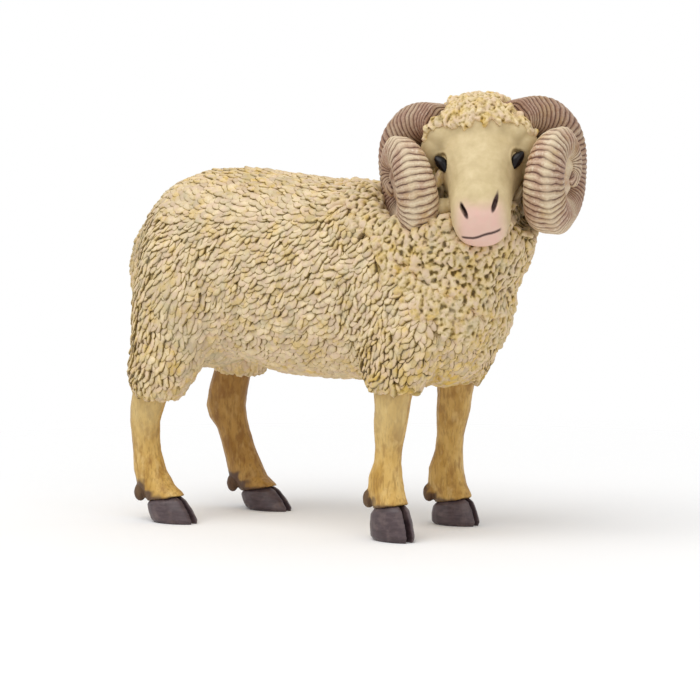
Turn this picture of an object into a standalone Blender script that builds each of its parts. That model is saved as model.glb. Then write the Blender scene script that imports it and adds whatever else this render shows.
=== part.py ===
# Standing ram figure with ribbed spiral horns, as glued pieces on pegs.
# The ram faces +X with its head turned to its right (-Y); +Z is up and it stands on z = 0.
# Lengths are in metres.  Tables of shares are multiples of the size named beside them.

import math

import bmesh
import bpy
from mathutils import Matrix, Vector

MM = 0.001

# Driving sizes of the whole figure
back_height = 62.3 * MM
belly_height = 26.2 * MM
body_length = 75.0 * MM
body_width = 30.4 * MM
stance_length = 45.0 * MM
stance_width = 22.6 * MM
rump_overhang = 12.2 * MM
eye_line_height = 63.9 * MM
head_forward = 35.3 * MM
head_aside = -5.2 * MM
head_turn = math.radians(-65)
head_tilt = math.radians(3.2)
head_pitch = math.radians(35)

# Fits between glued pieces
joint_gap = 0.3 * MM
eye_gap = 0.2 * MM
overrun = 6.0 * MM

# Torso and the fleece that hangs from it
torso_side_power = 2.3
torso_ring_points = 28
fleece_voxel = 1.0 * MM
fleece_smoothing_rounds = 7
torso_face_share = 0.092
neck_face_share = 0.20
nest_face_share = 0.022

# Thighs and shoulders: how far each fleece trouser leg hangs above the ground
near_rear_hem = 22.6 * MM
far_rear_hem = 25.2 * MM
front_hem = 25.4 * MM
thigh_depth = 18.8 * MM
thigh_width = 14.0 * MM
thigh_crown_height = 57.0 * MM
shoulder_depth = 17.0 * MM
shoulder_width = 12.0 * MM
shoulder_crown_height = 55.0 * MM

# Neck
neck_base_width = 26.0 * MM
neck_base_depth = 25.0 * MM
neck_rise = 25.0 * MM
neck_reach = 7.5 * MM
neck_sway = 3.4 * MM
neck_foot_share = 0.52
neck_seam_rise = 4.0 * MM
neck_seam_lean = math.radians(36)
neck_peg_radius = 4.0 * MM
neck_peg_length = 6.0 * MM

# Head, in its own frame: nose along +X, its left along +Y, origin midway between the eyes
head_length = 27.0 * MM
head_width = 14.6 * MM
head_depth = 9.0 * MM
head_ring_points = 28
head_voxel = 0.42 * MM
head_smoothing_rounds = 4
head_face_share = 0.055
brow_length = 5.2 * MM
brow_height = 2.6 * MM
brow_thickness = 1.6 * MM
brow_columns = 12
wool_cap_length = 12.0 * MM
wool_cap_width = 19.6 * MM
wool_cap_depth = 12.4 * MM
wool_cap_back_share = 0.27
wool_cap_rise_share = 0.12
wool_cap_columns = 24
temple_spacing = 13.4 * MM
temple_length = 6.8 * MM
temple_width = 5.6 * MM
temple_height = 7.2 * MM
temple_back = 4.9 * MM
temple_rise = 1.8 * MM
temple_columns = 16
head_peg_radius = 3.2 * MM
head_peg_length = 4.5 * MM

# Head peg: where it starts behind and below the eyes, and how much of it is inside
head_peg_back_share = 0.30
head_peg_drop_share = 0.40
head_peg_inside_share = 0.24

# Mouth and nostrils
mouth_drop = 4.9 * MM
mouth_half_width = 2.7 * MM
mouth_slit = 0.5 * MM
mouth_depth = 1.3 * MM
muzzle_lean = math.radians(8)
nostril_spacing = 5.3 * MM
nostril_length = 2.3 * MM
nostril_width = 0.9 * MM
nostril_depth = 1.6 * MM
nostril_lean = math.radians(38)
nostril_drop_share = 0.03
nostril_columns = 12
mouth_wrap_share = 1.25
mouth_corner_slit_share = 0.3
mouth_corner_depth_share = 0.6
mouth_steps = 12

# Eyes
eye_spacing = 11.6 * MM
eye_length = 3.6 * MM
eye_height = 1.8 * MM
eye_depth = 2.3 * MM
eye_ahead = 0.4 * MM
eye_rise = 0.6 * MM
eye_slant = math.radians(32)
eye_outlook = math.radians(48)
eye_columns = 14

# Horns: a tapering ribbed tube wound outwards in a flat coil
horn_coil_radius = 9.35 * MM
horn_root_thickness = 7.6 * MM
horn_root_width = 9.0 * MM
horn_outreach = 12.8 * MM
horn_drop = 1.7 * MM
horn_setback = 6.0 * MM
horn_flare = math.radians(17)
horn_start = math.radians(-11)
horn_sweep = math.radians(583)
horn_rib_pitch = 1.45 * MM
horn_rib_depth = 0.34 * MM
horn_sides = 10
horn_side_power = 2.5
horn_keel_share = 0.13
horn_keel_angle = math.radians(42)
horn_keel_spread = math.radians(24)
horn_nest_margin = 0.4 * MM
horn_nest_share = 0.66
horn_nest_steps = 40
horn_core_share = 0.72
horn_root_share = 0.50
horn_root_steps = 34
horn_groove_share = 1.6
horn_tangent_share = 0.002
horn_measure_steps = 600

# Ears
ear_length = 5.0 * MM
ear_width = 3.0 * MM
ear_thickness = 1.3 * MM
ear_ring_points = 10
ear_back_share = 0.16
ear_aside_share = 0.40
ear_rise_share = -0.34
ear_reach = Vector((-0.16, 1.0, -0.10))
ear_face = Vector((-0.75, -0.05, -0.6))

# Tail
tail_length = 15.0 * MM
tail_width = 5.4 * MM
tail_thickness = 4.6 * MM
tail_root_height = 53.5 * MM
tail_ring_points = 14
tail_peg_radius = 1.5 * MM
tail_peg_length = 3.4 * MM
tail_peg_inset_share = 0.2
tail_peg_drop_share = 0.4

# Legs
leg_depth = 5.0 * MM
leg_width = 4.4 * MM
leg_plunge = 4.2 * MM
leg_ring_points = 12
foot_peg_radius = 1.5 * MM
foot_peg_length = 2.2 * MM
dewclaw_length = 3.0 * MM
dewclaw_width = 2.3 * MM
dewclaw_columns = 8
dewclaw_spacing = 2.7 * MM

# Hooves
hoof_length = 9.4 * MM
hoof_width = 6.8 * MM
hoof_toe_height = 4.9 * MM
hoof_heel_height = 3.3 * MM
hoof_ring_points = 20
hoof_toe_rake = 2.3 * MM
hoof_side_rake = 0.45 * MM
hoof_crown = 0.45 * MM
cleft_width = 0.55 * MM
cleft_flare = 0.95 * MM
cleft_length = 6.0 * MM
hoof_level_shares = (0.0, 0.14, 0.5, 0.85, 1.0)
hoof_toe_narrowing_share = 0.34
hoof_side_power = 0.8

# Where each foot stands, and which way its toe points
foot_line = stance_length / 2
near_rear_step = 0.9 * MM
far_rear_step = 6.6 * MM
feet = {
    "front_right": (foot_line, -stance_width / 2, math.radians(-24)),
    "front_left": (foot_line, stance_width / 2, math.radians(-8)),
    "rear_right": (-foot_line + near_rear_step, -stance_width / 2, math.radians(-9)),
    "rear_left": (-foot_line + far_rear_step, stance_width / 2, math.radians(-7)),
}
hems = {
    "front_right": front_hem,
    "front_left": front_hem,
    "rear_right": near_rear_hem,
    "rear_left": far_rear_hem,
}

# Body sections from rump to chest: place along body_length, underside and top between
# belly_height and back_height, and half width over half body_width
torso_shares = (
    (0.004, 0.44, 0.64, 0.20),
    (0.020, 0.27, 0.75, 0.40),
    (0.052, 0.12, 0.85, 0.60),
    (0.110, 0.04, 0.945, 0.80),
    (0.190, 0.02, 1.00, 0.92),
    (0.280, 0.08, 1.01, 0.97),
    (0.400, 0.01, 0.985, 1.00),
    (0.515, 0.00, 0.96, 1.00),
    (0.635, 0.00, 0.94, 0.98),
    (0.740, -0.01, 0.89, 0.96),
    (0.830, -0.01, 0.82, 0.89),
    (0.885, 0.04, 0.76, 0.77),
    (0.935, 0.15, 0.68, 0.59),
    (0.970, 0.29, 0.58, 0.33),
)

# Thigh and shoulder sections from hem to crown: height between hem and crown, place
# ahead of the leg over the lobe's depth, place towards the spine over its width, half
# depth over the lobe's depth, half width over its width
thigh_shares = (
    (-0.02, 0.09, 0.00, 0.22, 0.28),
    (0.07, 0.10, 0.02, 0.32, 0.36),
    (0.24, 0.18, 0.10, 0.40, 0.42),
    (0.52, 0.24, 0.18, 0.47, 0.48),
    (0.76, 0.26, 0.24, 0.44, 0.42),
    (1.00, 0.30, 0.34, 0.26, 0.22),
)
shoulder_shares = (
    (-0.02, 0.00, 0.00, 0.24, 0.30),
    (0.09, 0.02, 0.03, 0.36, 0.39),
    (0.34, 0.07, 0.14, 0.50, 0.48),
    (0.68, 0.05, 0.22, 0.48, 0.44),
    (1.00, 0.00, 0.36, 0.28, 0.25),
)

# Neck sections from shoulder to poll: place along neck_rise, along neck_reach, along
# neck_sway, half depth over neck_base_depth, half width over neck_base_width
neck_shares = (
    (0.00, 0.10, 0.00, 0.56, 0.52),
    (0.20, 0.54, 0.08, 0.59, 0.53),
    (0.40, 0.86, 0.28, 0.56, 0.49),
    (0.62, 0.96, 0.60, 0.45, 0.42),
    (0.78, 0.98, 0.85, 0.37, 0.37),
    (0.88, 1.00, 1.00, 0.30, 0.31),
    (0.95, 1.00, 1.00, 0.21, 0.22),
    (0.99, 1.00, 1.00, 0.10, 0.11),
)

# Skull sections from poll to nose tip: place along head_length from the eyes, crown and
# jaw over head_depth, half width over half head_width
skull_shares = (
    (-0.480, 0.30, -0.30, 0.42),
    (-0.410, 0.58, -0.66, 0.72),
    (-0.300, 0.66, -0.88, 0.91),
    (-0.150, 0.58, -0.98, 0.99),
    (-0.050, 0.48, -0.98, 1.00),
    (0.010, 0.44, -0.96, 0.93),
    (0.080, 0.40, -0.94, 0.82),
    (0.180, 0.34, -0.90, 0.74),
    (0.290, 0.27, -0.94, 0.69),
    (0.385, 0.20, -0.99, 0.68),
    (0.450, 0.08, -0.94, 0.60),
    (0.495, -0.10, -0.82, 0.46),
    (0.520, -0.28, -0.66, 0.24),
)

# Horn at equal steps of its sweep: coil radius, thickness and width over the root's,
# and distance out from the middle of the head over horn_outreach
horn_radius_shares = (0.95, 1.01, 0.91, 0.79, 0.71, 0.62, 0.52, 0.395, 0.31, 0.23, 0.14)
horn_thickness_shares = (0.80, 1.00, 1.00, 0.98, 0.95, 0.88, 0.72, 0.52, 0.42, 0.33, 0.18)
horn_width_shares = (0.86, 1.02, 1.02, 1.00, 0.96, 0.88, 0.70, 0.52, 0.42, 0.32, 0.18)
horn_outreach_shares = (0.40, 0.72, 0.72, 0.70, 0.76, 0.88, 1.00, 1.08, 1.08, 1.06, 1.04)

# Leg sections from the coronet up: height over hem height, place ahead of the foot over
# leg_depth, half depth over leg_depth, half width over leg_width
near_front_leg_shares = (
    (0.235, -0.22, 0.68, 0.60),
    (0.33, -0.46, 0.74, 0.60),
    (0.42, -0.46, 0.64, 0.57),
    (0.52, -0.34, 0.50, 0.50),
    (0.62, -0.28, 0.48, 0.49),
    (0.71, -0.22, 0.54, 0.56),
    (0.80, -0.16, 0.60, 0.61),
    (0.90, -0.10, 0.62, 0.63),
    (1.00, -0.06, 0.68, 0.68),
)
far_front_leg_shares = (
    (0.18, -0.16, 0.68, 0.60),
    (0.28, -0.42, 0.74, 0.60),
    (0.39, -0.46, 0.65, 0.57),
    (0.51, -0.34, 0.51, 0.50),
    (0.62, -0.28, 0.48, 0.49),
    (0.71, -0.22, 0.54, 0.56),
    (0.80, -0.16, 0.60, 0.61),
    (0.90, -0.10, 0.62, 0.63),
    (1.00, -0.06, 0.68, 0.68),
)
near_rear_leg_shares = (
    (0.195, -0.52, 0.72, 0.62),
    (0.285, -0.99, 0.77, 0.60),
    (0.40, -1.24, 0.65, 0.55),
    (0.54, -1.34, 0.53, 0.50),
    (0.66, -1.38, 0.52, 0.51),
    (0.78, -1.38, 0.55, 0.54),
    (0.89, -1.26, 0.62, 0.60),
    (1.00, -1.10, 0.66, 0.64),
)
far_rear_leg_shares = (
    (0.16, -0.56, 0.72, 0.62),
    (0.235, -1.06, 0.79, 0.60),
    (0.36, -1.32, 0.69, 0.55),
    (0.48, -1.54, 0.64, 0.52),
    (0.58, -1.72, 0.65, 0.54),
    (0.655, -1.92, 0.76, 0.58),
    (0.74, -1.99, 0.79, 0.62),
    (0.86, -1.87, 0.77, 0.64),
    (1.00, -1.64, 0.72, 0.66),
)
leg_shares = {
    "front_right": near_front_leg_shares,
    "front_left": far_front_leg_shares,
    "rear_right": near_rear_leg_shares,
    "rear_left": far_rear_leg_shares,
}
dewclaw_rise_share = 0.52
leg_plunge_lean_share = 0.22

# Ear and tail sections: place along the piece, sag, half width, half thickness
ear_shares = (
    (0.00, 0.00, 0.30, 0.42),
    (0.22, 0.02, 0.38, 0.50),
    (0.50, 0.08, 0.50, 0.50),
    (0.78, 0.20, 0.38, 0.40),
    (1.00, 0.34, 0.10, 0.18),
)
tail_shares = (
    (0.00, -0.58, 0.26, 0.30),
    (0.08, -0.38, 0.42, 0.42),
    (0.28, -0.02, 0.50, 0.50),
    (0.55, 0.22, 0.50, 0.48),
    (0.78, 0.28, 0.45, 0.43),
    (0.93, 0.30, 0.32, 0.32),
    (1.00, 0.30, 0.14, 0.15),
)

# Paint colours
cream_fleece = (0.66, 0.52, 0.30, 1)
cream_face = (0.75, 0.61, 0.37, 1)
horn_tan = (0.42, 0.29, 0.20, 1)
ochre_leg = (0.56, 0.37, 0.13, 1)
hoof_brown = (0.075, 0.055, 0.055, 1)
eye_black = (0.012, 0.011, 0.011, 1)


def clear_scene():
    for thing in list(bpy.data.objects):
        bpy.data.objects.remove(thing, do_unlink=True)


def paint(name, colour, roughness):
    material = bpy.data.materials.new(name)
    material.use_nodes = True
    shader = material.node_tree.nodes["Principled BSDF"]
    shader.inputs["Base Color"].default_value = colour
    shader.inputs["Roughness"].default_value = roughness
    shader.inputs["Metallic"].default_value = 0
    return material


def add_mesh(name, points, faces):
    mesh = bpy.data.meshes.new(name)
    mesh.from_pydata([tuple(p) for p in points], [], faces)
    shell = bmesh.new()
    shell.from_mesh(mesh)
    bmesh.ops.recalc_face_normals(shell, faces=shell.faces)
    shell.to_mesh(mesh)
    shell.free()
    piece = bpy.data.objects.new(name, mesh)
    bpy.context.collection.objects.link(piece)
    return piece


def loft(name, rings):
    """Closed skin over rings of equally many points, with a flat face at each end."""
    count = len(rings[0])
    points = [point for ring in rings for point in ring]
    faces = []
    for row in range(len(rings) - 1):
        for k in range(count):
            here = row * count + k
            beside = row * count + (k + 1) % count
            faces.append((here, beside, beside + count, here + count))
    faces.append(tuple(range(count)))
    faces.append(tuple(range(len(points) - count, len(points))))
    return add_mesh(name, points, faces)


def rounded_ring(count, half_a, half_b, power):
    """Points round a superellipse, as pairs."""
    ring = []
    for k in range(count):
        turn = math.tau * k / count
        c, s = math.cos(turn), math.sin(turn)
        reach = (abs(c) ** power + abs(s) ** power) ** (-1 / power)
        ring.append((half_a * reach * c, half_b * reach * s))
    return ring


def ball(name, centre, half_sizes, turn, columns):
    shell = bmesh.new()
    rows = columns // 2 + 2
    bmesh.ops.create_uvsphere(shell, u_segments=columns, v_segments=rows, radius=1)
    scale = Matrix.Diagonal(Vector((*half_sizes, 1)))
    bmesh.ops.transform(shell, matrix=Matrix.Translation(centre) @ turn @ scale, verts=shell.verts)
    mesh = bpy.data.meshes.new(name)
    shell.to_mesh(mesh)
    shell.free()
    piece = bpy.data.objects.new(name, mesh)
    bpy.context.collection.objects.link(piece)
    return piece


def peg(name, start, end, radius, count=16):
    """Round peg between two points."""
    axis = (end - start).normalized()
    across = axis.orthogonal().normalized()
    aside = axis.cross(across)
    rings = []
    for centre in (start, end):
        rings.append([centre + across * a + aside * b for a, b in rounded_ring(count, radius, radius, 2)])
    return loft(name, rings)


def bake(piece):
    """Keep what the modifiers make, and drop them."""
    graph = bpy.context.evaluated_depsgraph_get()
    mesh = bpy.data.meshes.new_from_object(piece.evaluated_get(graph))
    piece.modifiers.clear()
    piece.data = mesh
    return piece


def remove(pieces):
    for piece in pieces:
        bpy.data.objects.remove(piece, do_unlink=True)


def combine(piece, others, operation, self_crossing=False):
    for other in others:
        step = piece.modifiers.new(operation.title(), "BOOLEAN")
        step.operation = operation
        step.object = other
        step.use_self = self_crossing
        other.hide_render = True
        other.display_type = "WIRE"
    bake(piece)
    remove(others)
    return piece


def join(name, pieces):
    """One object that holds all the shells as they are."""
    shell = bmesh.new()
    for piece in pieces:
        shell.from_mesh(piece.data)
    mesh = bpy.data.meshes.new(name)
    shell.to_mesh(mesh)
    shell.free()
    remove(pieces)
    whole = bpy.data.objects.new(name, mesh)
    bpy.context.collection.objects.link(whole)
    return whole


def sculpt(piece, voxel, smoothing_rounds, face_share):
    """Fuse crossing shells into one flowing skin."""
    fuse = piece.modifiers.new("Fuse", "REMESH")
    fuse.mode = "VOXEL"
    fuse.voxel_size = voxel
    soften = piece.modifiers.new("Soften", "SMOOTH")
    soften.factor = 0.5
    soften.iterations = smoothing_rounds
    lighten = piece.modifiers.new("Lighten", "DECIMATE")
    lighten.ratio = face_share
    return bake(piece)


def along(table, share):
    """Smooth curve through equally spaced values."""
    spans = len(table) - 1
    place = min(max(share, 0), 1) * spans
    k = min(int(place), spans - 1)
    t = place - k
    before = table[max(k - 1, 0)]
    after = table[min(k + 2, spans)]
    a, b = table[k], table[k + 1]
    rise_a, rise_b = (b - before) / 2, (after - a) / 2
    return (
        (2 * t**3 - 3 * t**2 + 1) * a
        + (t**3 - 2 * t**2 + t) * rise_a
        + (3 * t**2 - 2 * t**3) * b
        + (t**3 - t**2) * rise_b
    )


# Frames of the head: upright carries the horns, pitched carries the face
head_place = Vector((head_forward, head_aside, eye_line_height))
upright_frame = (
    Matrix.Translation(head_place)
    @ Matrix.Rotation(head_turn, 4, "Z")
    @ Matrix.Rotation(head_tilt, 4, "X")
)
head_frame = upright_frame @ Matrix.Rotation(head_pitch, 4, "Y")

# Neck line, from the shoulders to the back of the head
rump_place = -foot_line - rump_overhang
neck_foot = Vector((foot_line, 0, belly_height + (back_height - belly_height) * neck_foot_share))
neck_top = neck_foot + Vector((neck_reach, neck_sway, neck_rise))
neck_line = (neck_top - neck_foot).normalized()
neck_seam = neck_foot + Vector((0, 0, neck_seam_rise))
seam_normal = Vector((math.sin(neck_seam_lean), 0, math.cos(neck_seam_lean)))


def torso_shell():
    depth = back_height - belly_height
    rings = []
    for place, under, top, width_share in torso_shares:
        low = belly_height + under * depth
        high = belly_height + top * depth
        ring = rounded_ring(torso_ring_points, width_share * body_width / 2, (high - low) / 2, torso_side_power)
        x = rump_place + place * body_length
        rings.append([Vector((x, y, (low + high) / 2 + z)) for y, z in ring])
    return loft("body", rings)


def lobe_shell(corner, shares, depth, width, crown):
    x, y, _ = feet[corner]
    hem = hems[corner]
    ahead = leg_shares[corner][-1][1] * leg_depth
    inward = -math.copysign(1, y)
    rings = []
    for up, forward, towards, half_depth, half_width in shares:
        centre = Vector((x + ahead + forward * depth, y + inward * towards * width, hem + up * (crown - hem)))
        ring = rounded_ring(torso_ring_points, half_depth * depth, half_width * width, 2)
        rings.append([centre + Vector((a, b, 0)) for a, b in ring])
    return loft("lobe", rings)


def neck_shell():
    rings = []
    for up, ahead, sway, half_depth, half_width in neck_shares:
        centre = neck_foot + Vector((ahead * neck_reach, sway * neck_sway, up * neck_rise))
        ring = rounded_ring(torso_ring_points, half_depth * neck_base_depth, half_width * neck_base_width, 2)
        lean = neck_line.to_track_quat("Z", "Y")
        rings.append([centre + lean @ Vector((b, a, 0)) for a, b in ring])
    return loft("neck", rings)


def fleece_form():
    """Body, thighs, shoulders and neck as one sculpted fleece."""
    shells = [torso_shell(), neck_shell()]
    for corner in ("rear_right", "rear_left"):
        shells.append(lobe_shell(corner, thigh_shares, thigh_depth, thigh_width, thigh_crown_height))
    for corner in ("front_right", "front_left"):
        shells.append(lobe_shell(corner, shoulder_shares, shoulder_depth, shoulder_width, shoulder_crown_height))
    return join("fleece", shells)


def seam_block(side):
    """Block that takes away one side of the neck's glue seam and half the joint gap."""
    size = 2 * body_length
    centre = neck_seam + seam_normal * side * (size - joint_gap) / 2
    turn = seam_normal.to_track_quat("Z", "Y").to_matrix().to_4x4()
    shell = bmesh.new()
    bmesh.ops.create_cube(shell, size=size)
    bmesh.ops.transform(shell, matrix=Matrix.Translation(centre) @ turn, verts=shell.verts)
    mesh = bpy.data.meshes.new("seam")
    shell.to_mesh(mesh)
    shell.free()
    piece = bpy.data.objects.new("seam", mesh)
    bpy.context.collection.objects.link(piece)
    return piece


def leg_rings(corner, grow):
    x, y, toe = feet[corner]
    hem = hems[corner]
    slope = (hoof_toe_height - hoof_heel_height) / hoof_length
    turn = Matrix.Rotation(toe, 3, "Z")
    shares = leg_shares[corner]
    rings = []
    lowest, highest = shares[0][0], shares[-1][0]
    for up, ahead, half_depth, half_width in shares:
        level = (highest - up) / (highest - lowest)
        twist = Matrix.Rotation(toe * level, 3, "Z")
        centre = turn @ Vector((ahead * leg_depth * level, 0, 0)) + Vector((ahead * leg_depth * (1 - level), 0, 0))
        ring = rounded_ring(leg_ring_points, half_depth * leg_depth + grow, half_width * leg_width + grow, 2.2)
        tilt = slope if up == lowest else 0
        rings.append([
            Vector((x, y, hem * up + tilt * a)) + centre + twist @ Vector((a, b, 0)) for a, b in ring
        ])
    plunge = Vector((leg_plunge * leg_plunge_lean_share, 0, leg_plunge + grow))
    rings.append([point + plunge for point in rings[-1]])
    return rings


def leg_piece(corner):
    x, y, toe = feet[corner]
    rings = leg_rings(corner, 0)
    coronet = rings[0]
    centre = sum(coronet, Vector()) / len(coronet)
    narrow = foot_peg_radius / (leg_shares[corner][0][2] * leg_depth)
    collar = [centre + (point - centre) * narrow for point in coronet]
    tip = [Vector((point.x, point.y, centre.z - foot_peg_length)) for point in collar]
    leg = loft(corner + "_leg", [tip, collar] + rings)
    turn = Matrix.Rotation(toe, 4, "Z")
    back = leg_ring_points // 2
    heel = rings[0][back].lerp(rings[1][back], dewclaw_rise_share)
    claws = []
    for side in (-1, 1):
        place = heel + turn @ Vector((0, side * dewclaw_spacing / 2, 0))
        sizes = (dewclaw_width / 2, dewclaw_width / 2, dewclaw_length / 2)
        claws.append(ball("dewclaw", place, sizes, turn, dewclaw_columns))
    return combine(leg, claws, "UNION"), collar


def hoof_piece(corner, collar):
    x, y, toe = feet[corner]
    coronet_height = leg_shares[corner][0][0] * hems[corner] - joint_gap
    slope = (hoof_toe_height - hoof_heel_height) / hoof_length
    top_shift = leg_shares[corner][0][1] * leg_depth
    turn = Matrix.Rotation(toe, 3, "Z")
    rings = []
    for level in hoof_level_shares:
        swell = hoof_crown * math.sin(math.pi * level)
        length = hoof_length - hoof_toe_rake * level + swell
        width = hoof_width - 2 * hoof_side_rake * level + swell
        ease = hoof_crown if level in (0.0, 1.0) else 0
        shift = top_shift * level
        ring = []
        for k in range(hoof_ring_points):
            angle = math.tau * (k + 0.5) / hoof_ring_points
            ahead = (length / 2 - ease) * math.cos(angle)
            taper = 1 - hoof_toe_narrowing_share * ((1 + math.cos(angle)) / 2) ** 2
            bulge = math.copysign(abs(math.sin(angle)) ** hoof_side_power, math.sin(angle))
            aside = (width / 2 - ease) * taper * bulge
            height = level * (coronet_height + slope * ahead)
            ring.append(Vector((x, y, height)) + turn @ Vector((ahead + shift, aside, 0)))
        rings.append(ring)
    hoof = loft(corner + "_hoof", rings)
    tip = Vector((hoof_length / 2 + overrun, 0, 0))
    root = Vector((hoof_length / 2 - cleft_length, 0, 0))
    spread = cleft_flare * (1 + overrun / cleft_length)
    outline = [
        root + Vector((0, -cleft_width / 2, 0)),
        tip + Vector((0, -spread / 2, 0)),
        tip + Vector((0, spread / 2, 0)),
        root + Vector((0, cleft_width / 2, 0)),
    ]
    wedge_rings = []
    for height in (-overrun, hoof_toe_height + overrun):
        wedge_rings.append([Vector((x, y, height)) + turn @ point for point in outline])
    cleft = loft("cleft", wedge_rings)
    centre = sum(collar, Vector()) / len(collar)
    socket_floor = centre - Vector((0, 0, foot_peg_length + joint_gap))
    socket_top = centre + Vector((0, 0, overrun))
    socket = peg("socket", socket_floor, socket_top, foot_peg_radius + joint_gap)
    return combine(hoof, [cleft, socket], "DIFFERENCE")


def skull_shell(grow):
    rings = []
    for place, crown, jaw, width_share in skull_shares:
        high = crown * head_depth + grow
        low = jaw * head_depth - grow
        ring = rounded_ring(head_ring_points, width_share * head_width / 2 + grow, (high - low) / 2, 2.3)
        x = place * head_length
        x += grow if place > 0 else -grow
        rings.append([head_frame @ Vector((x, y, (high + low) / 2 + z)) for y, z in ring])
    return loft("skull", rings)


def head_form(grow):
    """Skull, brows and the cap of wool as one sculpted form."""
    shells = [skull_shell(grow)]
    turn = head_frame.to_quaternion().to_matrix().to_4x4()
    for side in (-1, 1):
        place = head_frame @ Vector((-brow_length / 2, side * (eye_spacing / 2 - brow_thickness), eye_height))
        sizes = (brow_length / 2 + grow, brow_thickness + grow, brow_height / 2 + grow)
        shells.append(ball("brow", place, sizes, turn, brow_columns))
        place = head_frame @ Vector((-temple_back, side * temple_spacing / 2, temple_rise))
        sizes = (temple_length / 2 + grow, temple_width / 2 + grow, temple_height / 2 + grow)
        shells.append(ball("temple", place, sizes, turn, temple_columns))
    cap_place = head_frame @ Vector((-head_length * wool_cap_back_share, 0, head_depth * wool_cap_rise_share))
    cap_sizes = (wool_cap_length / 2 + grow, wool_cap_width / 2 + grow, wool_cap_depth / 2 + grow)
    shells.append(ball("cap", cap_place, cap_sizes, turn, wool_cap_columns))
    form = join("head", shells)
    return sculpt(form, head_voxel, head_smoothing_rounds, head_face_share)


def head_peg(grow):
    start = head_frame @ Vector((-head_length * head_peg_back_share, 0, -head_depth * head_peg_drop_share))
    aim = ((neck_foot + neck_top) / 2 - start).normalized()
    reach = head_length * head_peg_inside_share + head_peg_length + grow
    return peg("peg", start, start + aim * reach, head_peg_radius + grow)


def eye_ball(side, grow):
    place = head_frame @ Vector((eye_ahead, side * eye_spacing / 2, eye_rise))
    lean = Matrix.Rotation(-side * eye_outlook, 4, "Z") @ Matrix.Rotation(eye_slant, 4, "Y")
    turn = head_frame.to_quaternion().to_matrix().to_4x4() @ lean
    sizes = (eye_length / 2 + grow, eye_depth / 2 + grow, eye_height / 2 + grow)
    return ball("eye", place, sizes, turn, eye_columns)


def nostril_cutter(side):
    ahead = skull_shares[-3][0] * head_length
    aside = side * nostril_spacing / 2
    height = aside * math.tan(muzzle_lean) - head_depth * nostril_drop_share
    lean = Matrix.Rotation(-side * nostril_lean, 4, "X")
    turn = head_frame.to_quaternion().to_matrix().to_4x4() @ lean
    place = head_frame @ Vector((ahead, aside, height))
    return ball("nostril", place, (nostril_depth, nostril_width / 2, nostril_length / 2), turn, nostril_columns)


def mouth_cutter():
    """Thin curved blade that opens the lips at the front and along both cheeks."""
    ahead = skull_shares[-2][0] * head_length
    rings = []
    for k in range(mouth_steps + 1):
        share = 2 * k / mouth_steps - 1
        aside = share * mouth_half_width * mouth_wrap_share
        back = (share**2) * mouth_half_width
        height = -mouth_drop + aside * math.tan(muzzle_lean)
        thick = mouth_slit / 2 * (1 - (1 - mouth_corner_slit_share) * share**2)
        front = ahead - back + overrun / 2
        rear = ahead - back - mouth_depth * (1 - (1 - mouth_corner_depth_share) * share**2)
        corners = ((front, -thick), (rear, 0), (front, thick))
        rings.append([head_frame @ Vector((u, aside, height + v)) for u, v in corners])
    return loft("mouth", rings)


def horn_frame(side):
    """Frame of one coil: forward, outward and up, with its outer face turned forwards."""
    flare = Matrix.Rotation(side * -horn_flare, 4, "Z")
    mirror = Matrix.Diagonal(Vector((1, side, 1, 1)))
    return upright_frame @ flare @ mirror


def horn_point(share):
    turn = horn_start + horn_sweep * share
    radius = horn_coil_radius * along(horn_radius_shares, share)
    outward = horn_outreach * along(horn_outreach_shares, share)
    return Vector((-horn_setback - radius * math.sin(turn), outward, -horn_drop + radius * math.cos(turn)))


def horn_stations():
    """Shares of the sweep at which crests and grooves follow each other at an even pitch."""
    fine = horn_measure_steps
    lengths = [0.0]
    before = horn_point(0)
    for k in range(1, fine + 1):
        here = horn_point(k / fine)
        lengths.append(lengths[-1] + (here - before).length)
        before = here
    count = 2 * round(lengths[-1] / horn_rib_pitch)
    stations = []
    k = 0
    for step in range(count + 1):
        target = lengths[-1] * step / count
        while k < fine - 1 and lengths[k + 1] < target:
            k += 1
        part = (target - lengths[k]) / (lengths[k + 1] - lengths[k])
        stations.append((k + part) / fine)
    return stations


def horn_ring(share, scale_drop, grow, sides):
    centre = horn_point(share)
    ahead, behind = min(share + horn_tangent_share, 1), max(share - horn_tangent_share, 0)
    tangent = (horn_point(ahead) - horn_point(behind)).normalized()
    turn = horn_start + horn_sweep * share
    outward = Vector((0, 1, 0))
    outward = (outward - tangent * outward.dot(tangent)).normalized()
    radial = Vector((-math.sin(turn), 0, math.cos(turn)))
    radial = (radial - tangent * radial.dot(tangent) - outward * radial.dot(outward)).normalized()
    thick = horn_root_thickness / 2 * along(horn_thickness_shares, share) - scale_drop + grow
    wide = horn_root_width / 2 * along(horn_width_shares, share) - scale_drop + grow
    ring = []
    for a, b in rounded_ring(sides, 1, 1, horn_side_power):
        angle = math.atan2(b, a)
        keel = 1 + horn_keel_share * math.exp(-(((angle - horn_keel_angle) / horn_keel_spread) ** 2))
        ring.append(centre + radial * a * thick * keel + outward * b * wide * keel)
    return ring


def horn_piece(side, name):
    """Ribbed spiral tube: crests and grooves in turn, root to tip."""
    frame = horn_frame(side)
    rings = []
    for k, share in enumerate(horn_stations()):
        slim = along(horn_thickness_shares, share)
        groove = horn_rib_depth * min(1, slim * horn_groove_share) if k % 2 else 0
        rings.append([frame @ point for point in horn_ring(share, groove, 0, horn_sides)])
    return loft(name, rings)


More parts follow.
